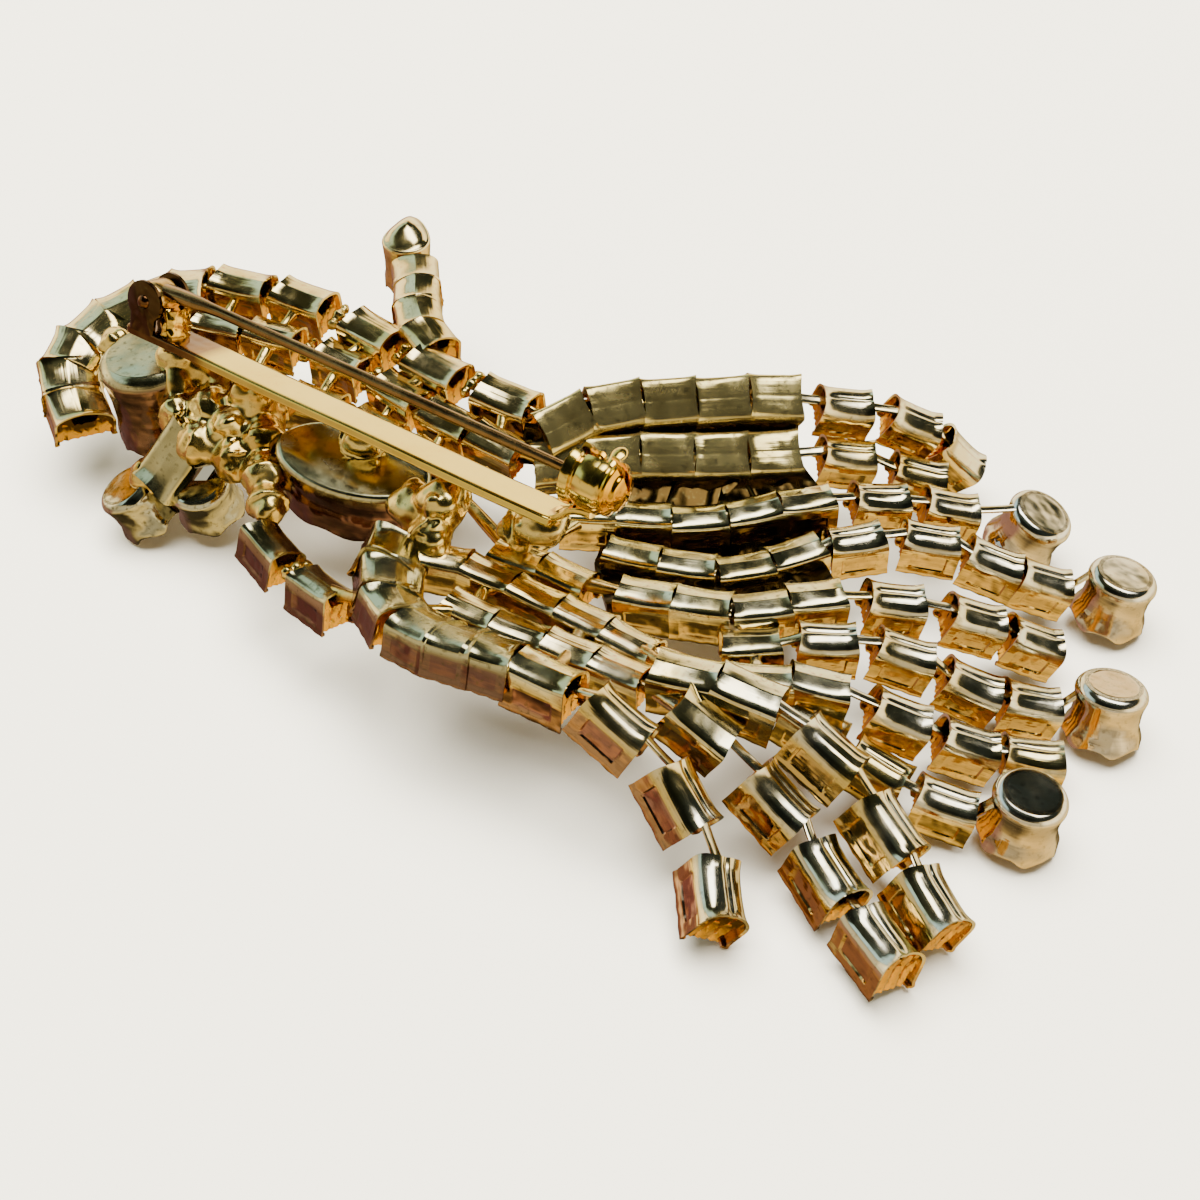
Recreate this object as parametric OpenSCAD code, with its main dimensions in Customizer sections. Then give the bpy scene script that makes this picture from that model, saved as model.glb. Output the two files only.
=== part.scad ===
// Rhinestone spray brooch, lying on its stones with its fastener up.
// X runs along the fastener bar from the hinge to the catch, and Z points away from the stones.
// The origin is the middle of the footprint, on the surface that the brooch rests on.

/* [Baguette cups] */
// Length of a baguette cup along its row
cup_l = 4.3; // [4.1:0.1:4.4]
// Width of a baguette cup across its row
cup_w = 3.2; // [3:0.1:3.3]
// Depth of a baguette cup from its back to its rim
cup_d = 3.2; // [3.1:0.1:3.4]
// Thickness of the pressed sheet of every cup
sheet = 0.3; // [0.25:0.01:0.35]
// Length along the row of a cup whose stone lies across the row
cross_l = 2.9; // [2.7:0.1:3]
// Width across the row of a cup whose stone lies across the row
cross_w = 4.0; // [3.8:0.1:4.2]

/* [Strip links] */
// Width of the strip that joins two loose cups
link_w = 0.9; // [0.7:0.1:1]
// Thickness of the strip
link_t = 0.25; // [0.2:0.01:0.3]
// Gap between two loose cups
link_gap = 1.9; // [1.7:0.1:2]

/* [Round cups] */
// Outer radius of the round end cups
drop_r = 2.75; // [2.6:0.05:2.9]
// Depth of the round end cups
drop_d = 4.6; // [4.2:0.1:4.8]
// Outer radius of the big round cup
round_r = 4.4; // [4.2:0.1:4.6]
// Depth of the big round cup
round_d = 7.6; // [7.2:0.1:7.8]

/* [Fastener] */
// Length of the fastener bar
bar_l = 41.5; // [41:0.5:42]
// Width of the bar
bar_w = 3.6; // [3.4:0.1:3.8]
// Thickness of the bar
bar_t = 0.8; // [0.7:0.1:1]
// Lean of the bar away from the tail's lower rim
bar_lean = 20; // [15:1:25]
// Radius of the pin wire
pin_r = 0.45; // [0.4:0.01:0.5]
// Height of the rivet's axis over the bar
rivet_h = 2.4; // [2.3:0.1:2.6]
// Outer radius of the catch housing
catch_r = 2.1; // [2:0.05:2.2]

/* [Hidden] */
$fn = 48;

gold = "#D9B871";
crystal = "#E4EEF2";
steel = "#9C7B4E";

// Baguette cup, inside: the strip channel under the back, the floor, and the stone's pocket
channel_w = 1.7;
channel_h = 0.9;
floor_z = 1.45;
lip = 0.45;
lip_h = 0.2;
clear = 0.1;

// Rows. Each has the route of its cups' backs, the roll of each back (the last roll holds for the
// cups after it), a size factor, the length and width of a cup, the gap before each cup, and how
// many of its cups are soldered into the frame.
ROUTE = 0;
ROLLS = 1;
SIZE = 2;
LONG = 3;
WIDE = 4;
GAPS = 5;
SOLDERED = 6;
l = cup_l;
w = cup_w;
g = link_gap;

tail = [
    [[[-4.8, 2.8, 11.7], [-1.7, 7.9, 12.6], [4.9, 13.4, 12.6], [8.3, 16.4, 12.4],
      [12.9, 20.8, 11.2], [18, 24.2, 9.4], [21.6, 26.4, 5.8], [22.8, 27, 4.2]],
     [40, 40, 38, 36, 34, 24, 18, 12], 1, l, w, [0, 0, 0, 0, 0, g, g, 1.5], 5],
    [[[-4.8, 1.3, 9.5], [-0.1, 5.5, 9.8], [7.1, 10.7, 9.8], [10.4, 13.6, 9.6],
      [14.6, 17.9, 8.8], [19.6, 20.8, 7.2], [21.6, 22, 6.6]],
     [36, 36, 35, 33, 30, 22, 18], 1, l, w, [0, 0, 0, 0, 0, 2.2, g], 5],
    [[[-0.9, -0.3, 8.6], [4.7, 2.9, 8.6], [8.9, 5.2, 8.6], [14.6, 11.1, 9], [19.1, 15.4, 8.4],
      [23.9, 18.9, 7.3], [26, 20.3, 6.4]],
     [8], 1, l, w, [0, 0, 0, 0, 0, 2.1, 1.6], 5],
    [[[4.3, -1.7, 8.4], [10.6, 0.3, 8.4], [14, 2.2, 8.4], [16.8, 6.2, 8.4], [19.8, 9.9, 8.6],
      [24.5, 13.7, 8.2], [29.8, 15.7, 6.8], [33.4, 17.8, 5], [35.2, 19, 4.6]],
     [2], 1, l, w, [0, 0, 0, 0, 0.7, g, 1.1, 0.2], 4],
    [[[8.1, -5.8, 9.4], [12.6, -4.4, 9.6], [17.4, -2.3, 9.8], [20.8, 1.3, 9.8], [25.8, 5.2, 9.2],
      [31.2, 9, 7.2], [35.4, 11.7, 4.8], [37, 12.8, 4]],
     [2], 1, l, w, [0, 0, 0, 0, 2, 2.5, 1], 4],
    [[[17.2, -6, 9.2], [19, -4.9, 9.2], [23.7, -1.4, 9.4], [28.8, 1.9, 8.2], [34, 3.9, 5.8],
      [38, 6.4, 4.2], [39.8, 7.6, 3.8]],
     [0], 1, l, w, [0, 1.4, g, 1.5, 0.4], 1],
    [[[19.9, -8.9, 9.6], [22.2, -7.6, 9.6], [25.4, -5.7, 9.4], [31.2, -3.3, 7.6],
      [35.6, -0.7, 5], [39.8, 1.7, 3.9], [41.6, 2.7, 3.8]],
     [0], 1, l, w, [0, 0, 2.2, 1.5, 0.4], 2],
    [[[15.6, -12.6, 11.6], [18, -12, 11.6], [22.7, -10.9, 11.5], [29.2, -10, 9.3],
      [35.4, -11.7, 6.4], [40.4, -14.6, 4.9], [42.4, -15.9, 4.8]],
     [5, 5, -20, -25, -25], 1.12, l, w, [0, 0, 2.1, 1.9, 1], 2],
    [[[19.2, -14.9, 11.5], [21.2, -14.5, 10.8], [28.2, -14.2, 6.9], [33.2, -16.6, 5.1],
      [38.3, -19.2, 4.7], [40.4, -20.3, 4.7]],
     [8, -20, -18, -15], 1.12, l, w, [0, 2.4, 1.3, 1], 1],
    [[[7.7, -17.9, 12.4], [9.9, -18.1, 12.4], [16, -17.7, 12], [22.6, -18.4, 8.2],
      [27.4, -21.6, 5], [28.8, -23.6, 4.8]],
     [-5, -22, -26, -28], 1.12, l, w, [0, 1.8, 2.2, 2], 1],
    [[[24.2, -7.7, 7.8], [26, -7.4, 7.4], [32, -7.5, 6], [37, -6.3, 4.6], [38.8, -5.6, 4.4]],
     [0], 1, l, w, [0, 1.3, 1], 1]
];

inner = [
    [[[-6, -12.2, 10.6], [-1.9, -10.8, 10.4], [6.2, -10.2, 10], [12, -10.2, 9.8], [20, -10, 9.6]],
     [0], 0.95, l, w, [0, 0, 0, 0, 0], 5],
    [[[-2, -7.6, 9.6], [3.1, -7, 9.6], [9, -6.8, 9.4]], [0], 0.95, l, w, [0, 0], 2],
    [[[-1, -14.8, 10.6], [3.5, -14.4, 10.4], [8, -13.8, 10.2], [17.5, -13, 10.4]],
     [0, 0, 4, 4], 0.95, l, w, [0, 0, 0, 0], 4]
];

rim = [
    [[[-6.6, -12.2, 11.4], [-5.9, -14.2, 11.8], [-4, -16.9, 12], [-1.6, -18.4, 12.2],
      [1.6, -18.6, 12.3], [5, -18, 12.4], [7.8, -17.5, 12.4], [9, -17.3, 12.4]],
     [-20], 1, cross_l, cross_w, [0, 0, 0, 0, 0, 0], 6],
    [[[-18.6, -15.4, 9.6], [-16.7, -16.2, 9.2], [-10.6, -17.8, 9.2], [-8, -18.2, 9.6]],
     [-12], 1, l, w, [0, 1.9], 2]
];

upper = [
    [[[-38.9, 3, 13.5], [-36.6, 3.6, 13.5], [-31.1, 5, 13.4], [-23.6, 4.9, 13.2],
      [-16.5, 4.2, 13], [-9.7, 4.5, 12.6], [-7, 4.7, 12.4]],
     [6, 8, 10, 12, 14], 1.1, l, w, [0, 0.9, 2.5, 2.2, 1.9], 5],
    [[[-37.6, -1, 12.3], [-35.5, -0.6, 12.3], [-31, 0.9, 12.2], [-24.3, 1.7, 12],
      [-17.9, 1.1, 11.8], [-12.7, 0.6, 11.6], [-7.9, 0.8, 11.2], [-5.2, 0.8, 11]],
     [2, 4, 7, 9, 12, 14], 1, l, w, [0, 0.5, 2.4, 2.1, 1, 0.4], 6],
    [[[-34.4, -4.4, 11], [-28.6, -3.6, 11], [-22.4, -2.2, 10.6], [-16.8, -2.3, 10.6],
      [-10.6, -3, 10.4], [-8, -3.2, 10.4]],
     [2, 4, 6, 8], 1, l, w, [2.4, 2, 1.6, 1.6], 4]
];

// Rows whose stones lie across: the curl at the left end and the crest
curl = [
    [[[-39.4, 1.6, 13.2], [-41.5, 0.6, 12.8], [-43.6, -1.6, 12], [-45.2, -4.4, 11.2],
      [-45.5, -7.4, 10.4], [-44, -10.4, 9.6], [-41.2, -12.2, 8.6], [-39.4, -13.2, 8]],
     [0], 1, cross_l, cross_w, [0, 0, 0, 0, 0, 0, 0], 7],
    [[[-17.6, 6.2, 13.4], [-20.2, 7.4, 13.8], [-22.6, 9.6, 14], [-24.6, 12.2, 14], [-26.2, 14, 13.9]],
     [0], 1, cross_l, cross_w, [0, 0, 0, 0], 4]
];

frame_rows = concat(tail, inner, rim, upper, curl);

// Solder ties between two cups of two rows: row, cup, row, cup
ties = [
    [4, 1, 5, 0],
    [5, 0, 6, 0], [6, 1, 10, 0], [6, 0, 11, 4], [11, 4, 7, 0], [7, 0, 8, 0], [8, 0, 13, 3],
    [9, 0, 13, 2], [14, 0, 11, 0], [14, 2, 13, 0], [11, 1, 13, 0],
    [11, 3, 13, 2], [12, 0, 11, 1], [12, 1, 11, 3], [12, 1, 4, 0], [12, 0, 2, 0],
    [16, 4, 0, 0], [17, 5, 1, 0], [18, 3, 12, 0], [16, 1, 17, 1], [16, 2, 17, 2],
    [16, 3, 17, 3], [16, 4, 17, 5], [17, 1, 18, 0], [17, 2, 18, 1], [17, 3, 18, 2],
    [17, 4, 18, 3], [16, 0, 19, 0], [16, 0, 17, 0], [20, 0, 16, 3], [15, 1, 14, 2]
];

// Solder that fills the seam between two cups that lie side by side: row, cup, row, cup, and its
// depth under their backs
webs = [
    [0, 0, 1, 0, 1], [0, 1, 1, 1, 1], [0, 2, 1, 2, 1], [0, 3, 1, 3, 1], [0, 4, 1, 4, 1],
    [1, 1, 2, 0, 1.2], [1, 2, 2, 1, 1.2], [1, 3, 2, 2, 1.2], [1, 4, 2, 3, 1.2], [1, 4, 2, 4, 1.2],
    [2, 1, 3, 0, 2], [2, 2, 3, 1, 2], [2, 3, 3, 2, 2], [2, 4, 3, 3, 2],
    [3, 0, 4, 0, 1], [3, 1, 4, 1, 1], [3, 2, 4, 2, 1], [3, 3, 4, 3, 1]
];

// Round end cups: middle of the back, the way the back leans, the lean, and the strand it ends
DROP_SEAT = 0;
DROP_HEADING = 1;
DROP_LEAN = 2;
DROP_STRAND = 3;
drops = [
    [[29.8, 23.2, 5.6], 40, 30, 3],
    [[38, 20.5, 5.4], 60, 12, 4],
    [[42, 9.4, 5.1], 124, 6, 6],
    [[41.6, -3.6, 5.4], -40, 14, 11]
];

// Solder beads of the frame: middle and radius
beads = [
    [[-34.2, -6.9, 13], 1.6], [[-29.4, -8.8, 10.8], 1.7], [[-26.4, -9.2, 10.6], 1.8],
    [[-26, -7, 12.4], 1.8], [[-23.6, -9, 10.4], 1.7], [[-28.4, -11.6, 9.4], 1.6],
    [[-24.8, -11.2, 9.2], 1.6], [[-32, -9.8, 9.8], 1.7],
    [[-21.6, -11.6, 9.4], 1.6], [[-19.4, -13.8, 9], 1.4], [[-30, -6, 11], 1.6],
    [[-26, -5.2, 10.4], 1.5], [[-41.6, -6.6, 10.6], 1.5], [[-32.6, -13.8, 5.8], 1.4],
    [[-15, -7, 13.1], 1.3], [[-17, -4.4, 10.4], 1.4], [[-8.6, -9, 10.8], 1.9],
    [[-6, -8.6, 12.4], 1.9], [[-5.6, -10.8, 10.6], 1.5], [[1.6, -6.4, 12.4], 1.8],
    [[-0.4, -6.8, 11], 1.4], [[-26.8, 14.2, 12], 1.4]
];

// Brings the middle of the footprint to the origin
to_middle = [1.42, -1.28, 0];

module centred() translate(to_middle) children();

function lerp(a, b, u) = a + (b - a) * u;

function unit(v) = v / norm(v);

// Catmull-Rom blend of four route points
function blend(a, b, c, d, u) = 0.5 * (2 * b + (c - a) * u
    + (2 * a - 5 * b + 4 * c - d) * u * u + (3 * b - a - 3 * c + d) * u * u * u);

function smooth_route(p, steps = 8) = concat(
    [for (i = [0:len(p) - 2], k = [0:steps - 1])
        blend(p[max(i - 1, 0)], p[i], p[i + 1], p[min(i + 2, len(p) - 1)], k / steps)],
    [p[len(p) - 1]]
);

// Distances along a route from its start to each of its points
function run_lengths(q) = [for (i = 0, s = 0; i < len(q);
    s = s + (i + 1 < len(q) ? norm(q[i + 1] - q[i]) : 0), i = i + 1) s];

function spot_on(q, runs, s) = [for (axis = [0:2])
    lookup(s, [for (i = [0:len(q) - 1]) [runs[i], q[i][axis]]])];

function sum_to(list, n) = n < 0 ? 0 : list[n] + sum_to(list, n - 1);

// Distance along its row of the middle of cup i
function cup_mid(row, i) = (sum_to(row[GAPS], i) + (i + 0.5) * row[LONG]) * row[SIZE];

// Seat of a cup: [middle of the back, direction along the row, direction out of the back]
function seat_on(row, s, roll) =
    let (q = smooth_route(row[ROUTE]), runs = run_lengths(q), end = runs[len(runs) - 1],
         h = 0.35 * row[LONG], p = spot_on(q, runs, s),
         a = spot_on(q, runs, max(s - h, 0)), b = spot_on(q, runs, min(s + h, end)),
         t = unit(b - a), up = unit([0, 0, 1] - t[2] * t), side = cross(up, t))
    [p, t, up * cos(roll) - side * sin(roll)];

function seats(row) = [for (i = [0:len(row[GAPS]) - 1])
    seat_on(row, cup_mid(row, i), row[ROLLS][min(i, len(row[ROLLS]) - 1)])];

all_seats = [for (row = frame_rows) seats(row)];

// Puts a child, drawn with its back at Z = 0 and its length along X, on a seat
module on_seat(seat) {
    t = seat[1];
    n = seat[2];
    b = cross(n, t);
    p = seat[0];
    multmatrix([[t[0], b[0], n[0], p[0]], [t[1], b[1], n[1], p[1]], [t[2], b[2], n[2], p[2]]])
        children();
}

// Outside of a baguette cup: a rounded back over straight walls
module cup_block(l, w) {
    depth = cup_d + lip_h;
    rotate([90, 0, 90])
        linear_extrude(l, center = true)
            polygon([[-w / 2, -depth], [-w / 2, -1], [-w / 2 + 0.2, -0.55], [-w / 2 + 0.5, -0.22],
                     [-0.6, 0], [0.6, 0], [w / 2 - 0.5, -0.22], [w / 2 - 0.2, -0.55],
                     [w / 2, -1], [w / 2, -depth]]);
}

// Pocket for the stone, with the rim folded in over it
module cup_pocket(l, w) {
    translate([0, 0, -(floor_z + cup_d) / 2])
        cube([l - 2 * sheet, w - 2 * sheet, cup_d - floor_z], center = true);
    translate([0, 0, -cup_d])
        cube([l - 2 * sheet - 2 * lip + 0.4, w - 2 * sheet - 2 * lip + 0.4, 1], center = true);
}

// Mouth of the strip channel at one end of a cup, with the hole that takes the strip's tongue
module cup_mouth(l, end) {
    translate([end * (l / 2 - 0.55), 0, -sheet - channel_h / 2])
        cube([2.3, channel_w, channel_h], center = true);
    translate([end * (l / 2 - 0.85), 0, -1.35])
        cube([0.9, 1.4, 0.8], center = true);
}

module loose_cup(l, w) {
    difference() {
        cup_block(l, w);
        cup_pocket(l, w);
        cup_mouth(l, -1);
        cup_mouth(l, 1);
    }
}

// Step-cut stone: table, four crown facets, girdle and four pavilion facets
module baguette(l, w) {
    a = max(l, w) / 2 - sheet - clear;
    b = min(l, w) / 2 - sheet - clear;
    girdle = -cup_d + 0.45;
    table = -cup_d - 0.12;
    rotate([0, 0, w > l ? 90 : 0])
        polyhedron(
            points = [[-a + 0.5, -b + 0.5, table], [a - 0.5, -b + 0.5, table],
                      [a - 0.5, b - 0.5, table], [-a + 0.5, b - 0.5, table],
                      [-a, -b, girdle], [a, -b, girdle], [a, b, girdle], [-a, b, girdle],
                      [-a, -b, girdle + 0.1], [a, -b, girdle + 0.1], [a, b, girdle + 0.1],
                      [-a, b, girdle + 0.1], [-a + 0.9, 0, -floor_z - 0.2],
                      [a - 0.9, 0, -floor_z - 0.2]],
            faces = [[0, 1, 2, 3], [4, 5, 1, 0], [5, 6, 2, 1], [6, 7, 3, 2], [7, 4, 0, 3],
                     [8, 9, 5, 4], [9, 10, 6, 5], [10, 11, 7, 6], [11, 8, 4, 7],
                     [12, 13, 9, 8], [13, 10, 9], [13, 12, 11, 10], [12, 8, 11]]);
}

// Round brilliant: table, crown facets, girdle and pavilion, with its table at Z = 0 facing down
module brilliant(r, sides = 8) {
    h = 0.28 * r;
    rings = [[0.56 * r, 0, 0], [r, h, 0.5], [r, h + 0.12, 0.5]];
    points = concat(
        [for (ring = rings, k = [0:sides - 1])
            let (angle = 360 * (k + ring[2]) / sides)
            [ring[0] * cos(angle), ring[0] * sin(angle), ring[1]]],
        [[0, 0, h + 0.12 + 0.75 * r]]);
    table = [[for (k = [0:sides - 1]) k]];
    crown = [for (k = [0:sides - 1])
        each [[k, sides + k, (k + 1) % sides],
              [sides + k, sides + (k + 1) % sides, (k + 1) % sides]]];
    girdle = [for (k = [0:sides - 1])
        [sides + k, 2 * sides + k, 2 * sides + (k + 1) % sides, sides + (k + 1) % sides]];
    pavilion = [for (k = [0:sides - 1]) [2 * sides + k, 3 * sides, 2 * sides + (k + 1) % sides]];
    polyhedron(points = points, faces = concat(table, crown, girdle, pavilion));
}

// Strip from a to b, facing n, with a tongue turned down at each end
module strip(a, b, facing, k, reach_a, reach_b) {
    t = unit(b - a);
    n = unit(facing - (t * facing) * t);
    from = a - t * reach_a;
    span = norm(b - a) + reach_a + reach_b;
    on_seat([from, t, n]) {
        translate([0, -link_w * k / 2, -link_t * k / 2]) cube([span, link_w * k, link_t * k]);
        for (x = [0, span - link_t * k])
            translate([x, -link_w * k / 2, -0.75 * k]) cube([link_t * k, link_w * k, 0.75 * k]);
    }
}

function mouth(seat, end, k, long) =
    seat[0] + seat[1] * (end * long * k / 2) - seat[2] * ((sheet + channel_h / 2) * k);

module strip_link(from, to, long, k)
    strip(mouth(from, 1, k, long), mouth(to, -1, k, long), from[2] + to[2], k, 0.8 * k, 0.8 * k);

module soldered_blocks() {
    for (r = [0:len(frame_rows) - 1])
        let (row = frame_rows[r], all = all_seats[r], n = row[SOLDERED]) {
            for (i = [0:1:n - 1])
                on_seat(all[i])
                    scale(row[SIZE]) cup_block(row[LONG], row[WIDE]);
            for (i = [0:1:n - 2])
                seam(all[i], all[i + 1], row[SIZE]);
        }
}

// Solder and strip between two soldered cups of a row
module seam(from, to, k) {
    a = from[0] - from[2] * 0.7 * k;
    b = to[0] - to[2] * 0.7 * k;
    t = unit(b - a);
    n = unit(from[2] - (t * from[2]) * t);
    on_seat([(a + b) / 2, t, n])
        cube([norm(b - a), 1.3 * k, 0.7 * k], center = true);
}

// Bead of solder, cut in nine flats
module solder_bead(r)
    rotate_extrude($fn = 9)
        polygon([[0, -r], [0.5 * r, -r], [r, -0.3 * r], [r, 0.3 * r], [0.5 * r, r], [0, r]]);

// Rod of solder between two cups
module tie(from, to) {
    a = from[0] - from[2] * 0.85;
    b = to[0] - to[2] * 0.85;
    t = unit(b - a);
    up = unit(from[2] - (t * from[2]) * t);
    on_seat([a, t, up]) rotate([0, 90, 0]) cylinder(r = 0.45, h = norm(b - a), $fn = 8);
}

// Sheet of solder between two cups side by side
module web(from, to, depth) {
    a = from[0] - from[2] * depth;
    b = to[0] - to[2] * depth;
    t = unit(b - a);
    up = unit(from[2] - (t * from[2]) * t);
    on_seat([a, t, up]) translate([0, -2.7, -0.3]) cube([norm(b - a), 4.4, 0.6]);
}

module soldered_pockets() {
    for (r = [0:len(frame_rows) - 1])
        let (row = frame_rows[r], all = all_seats[r], n = row[SOLDERED]) {
            for (i = [0:1:n - 1])
                on_seat(all[i])
                    scale(row[SIZE]) cup_pocket(row[LONG], row[WIDE]);
            if (n > 0 && n < len(row[GAPS]))
                on_seat(all[n - 1])
                    scale(row[SIZE]) cup_mouth(row[LONG], 1);
        }
}

module row_stones(first, last) {
    for (r = [first:last])
        let (row = frame_rows[r])
            for (i = [0:1:row[SOLDERED] - 1])
                on_seat(all_seats[r][i])
                    scale(row[SIZE]) baguette(row[LONG], row[WIDE]);
}

function oval(a, b, n = 24) = [for (k = [0:n - 1]) [a * cos(360 * k / n), b * sin(360 * k / n)]];

// Pear outline: a round end of radius r and a point at the distance l from the round end's middle
function pear(r, l, n = 14) = let (turn = acos(r / l)) concat([[l, 0]],
    [for (k = [0:n]) let (angle = lerp(turn, 360 - turn, k / n)) [r * cos(angle), r * sin(angle)]]);

// Round cup, back up: rounded shoulder, straight wall, and its pocket
module round_cup_block(r, depth, shoulder = 0.7) {
    rotate_extrude()
        polygon(concat([[0, -depth], [0, 0]],
            [for (k = [0:4]) let (angle = 90 - 22.5 * k)
                [r - shoulder + shoulder * cos(angle), -shoulder + shoulder * sin(angle)]],
            [[r, -depth]]));
}

module round_cup_pocket(r, depth, floor_t = 0.5, stone_h = 0) {
    translate([0, 0, -depth - 1]) cylinder(r = r - 0.35, h = depth + 1 - floor_t);
}

module place(seat, heading, lean) {
    translate(seat) rotate([0, 0, heading]) rotate([0, lean, 0]) rotate([0, 0, -heading])
        children();
}

// Left cluster
big_seat = [-37.2, -7.4, 12.4];
left_seat = [-34.2, -15.2, 4.93];
right_seat = [-28.6, -12.4, 6.2];
small_r = 2.6;
small_d = 4.2;
box_line = unit([-1.7, -3.2, -4]);
box_seat = [[-30.4, -13.6, 8.6], box_line, unit([0, 0, 1] - box_line[2] * box_line)];
oval_seat = [-15.2, -8.2, 12];
oval_turn = 10;
oval_a = 6.6;
oval_b = 3.7;
oval_d = 4.8;
pear_seat = [-28.1, 15.4, 13.8];
pear_turn = 118;
pear_r = 2;
pear_l = 3.4;
pear_d = 4.4;

module at_big() place(big_seat, 200, 8) children();

module at_left() place(left_seat, 215, 28) children();

module at_right() place(right_seat, 265, 16) children();

module at_oval() translate(oval_seat) rotate([0, 0, oval_turn]) children();

module at_pear() translate(pear_seat) rotate([0, 0, pear_turn]) children();

module left_cluster_blocks() {
    at_big() round_cup_block(round_r, round_d, 1.1);
    at_left() round_cup_block(small_r, small_d);
    at_right() round_cup_block(small_r, small_d);
    on_seat(box_seat) scale(1.3) cup_block(cup_l, cup_w);
    at_oval() translate([0, 0, -oval_d]) linear_extrude(oval_d - 0.5) polygon(oval(oval_a, oval_b));
    at_oval() translate([0, 0, -0.6])
        linear_extrude(0.6) polygon(oval(oval_a - 0.45, oval_b - 0.45));
    at_pear() translate([0, 0, -pear_d]) linear_extrude(pear_d - 0.4) polygon(pear(pear_r, pear_l));
    at_pear() translate([0, 0, -0.5])
        linear_extrude(0.5) polygon(pear(pear_r - 0.35, pear_l - 0.55));
    at_pear() translate([0.5, 0, -0.2]) cylinder(r1 = pear_r - 0.4, r2 = 0.5, h = 1.5);
}

module left_cluster_pockets() {
    at_big() round_cup_pocket(round_r, round_d);
    at_left() round_cup_pocket(small_r, small_d);
    at_right() round_cup_pocket(small_r, small_d);
    on_seat(box_seat) scale(1.3) cup_pocket(cup_l, cup_w);
    at_oval() translate([0, 0, -oval_d - 1])
        linear_extrude(oval_d) polygon(oval(oval_a - 0.4, oval_b - 0.4));
    at_pear() translate([0, 0, -pear_d - 1])
        linear_extrude(pear_d) polygon(pear(pear_r - 0.35, pear_l - 0.6));
}

// Fastener, drawn in its own frame: the bar's top face at Z = 0, the hinge at X = 0
hinge_x = -36.2;
bar_y = -6.9;
bar_z = 15.1;
bar_back = 1.6;
ear_t = 0.4;
ear_r = 1.6;
rivet_r = 0.5;
eye_r = 1.5;
eye_w = 2.2;
shoulder_x = 5;
straight_end = 34;
wire_end = 40.2;
pin_tip = 43.4;
pin_h = rivet_h + eye_r - pin_r;
catch_x = 42.2;
sleeve_r = 1.35;
sleeve_l = 3;
sleeve_bore = 0.8;
slot_w = 1.3;
tab_angle = 62;
tab_turn = 75;

module fastener() translate([hinge_x, bar_y, bar_z]) rotate([-bar_lean, 0, 0]) children();

module ear(side) {
    translate([0, side * (bar_w / 2 - ear_t / 2), 0])
        rotate([90, 0, 0])
            difference() {
                union() {
                    translate([0, rivet_h, 0]) cylinder(r = ear_r, h = ear_t, center = true);
                    translate([-ear_r, -bar_t / 2, -ear_t / 2])
                        cube([2 * ear_r, rivet_h + bar_t / 2, ear_t]);
                }
                translate([0, rivet_h, 0]) cylinder(r = rivet_r + 0.03, h = 2, center = true);
            }
}

// Housing of the catch: a barrel with a domed end, open along its top for the pin, with a
// window on its far side for the thumb tab
module catch_housing() {
    difference() {
        union() {
            translate([catch_x - 2, 0, pin_h]) rotate([0, 90, 0]) cylinder(r = catch_r, h = 2.6);
            translate([catch_x + 0.6, 0, pin_h]) sphere(r = catch_r);
            translate([catch_x - 2, 0, pin_h]) rotate([0, 90, 0]) cylinder(r = catch_r + 0.25, h = 0.5);
            translate([catch_x - 3.6, -0.8, -bar_t]) cube([3.2, 1.6, bar_t + 2]);
        }
        translate([catch_x - 1.6, 0, pin_h])
            rotate([0, 90, 0]) cylinder(r = sleeve_r + clear, h = 3.2);
        translate([catch_x - 3, 0, pin_h]) rotate([0, 90, 0]) cylinder(r = 0.85, h = 2);
        translate([catch_x - 3, -slot_w / 2, pin_h]) cube([4.6, slot_w, 5]);
        for (a = [tab_angle - 2:19:tab_angle + tab_turn])
            translate([catch_x, 0, pin_h]) rotate([-a, 0, 0])
                translate([-0.7, -0.6, 0]) cube([1.4, 1.2, 3]);
    }
}

module bar_and_ears() {
    translate([-bar_back, -bar_w / 2, -bar_t]) cube([bar_l, bar_w, bar_t]);
    ear(-1);
    ear(1);
    catch_housing();
}

module hinge_rivet() {
    color(steel) centred()
        fastener() translate([0, 0, rivet_h]) rotate([90, 0, 0]) {
            cylinder(r = rivet_r, h = bar_w + 0.2, center = true);
            for (side = [-1, 1])
                translate([0, 0, side * (bar_w / 2 + 0.2)]) cylinder(r = 0.8, h = 0.3, center = true);
        }
}

module pin_stem() {
    color(steel) centred()
        fastener() difference() {
            union() {
                translate([0, 0, rivet_h])
                    rotate([90, 0, 0]) cylinder(r = eye_r, h = eye_w, center = true);
                translate([0, -0.7, pin_h - 0.9]) cube([shoulder_x, 1.4, 1.4]);
                translate([shoulder_x - 0.4, 0, pin_h])
                    rotate([0, 90, 0]) cylinder(r = pin_r, h = straight_end - shoulder_x + 0.4);
                translate([straight_end, 0, pin_h])
                    rotate([0, 90, 0])
                        cylinder(r1 = pin_r, r2 = pin_r - 0.06, h = wire_end - straight_end);
                translate([wire_end, 0, pin_h])
                    rotate([0, 90, 0])
                        cylinder(r1 = pin_r - 0.06, r2 = 0.1, h = pin_tip - wire_end - 0.2);
            }
            translate([0, 0, rivet_h])
                rotate([90, 0, 0]) cylinder(r = rivet_r + 0.06, h = 5, center = true);
        }
}

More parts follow.
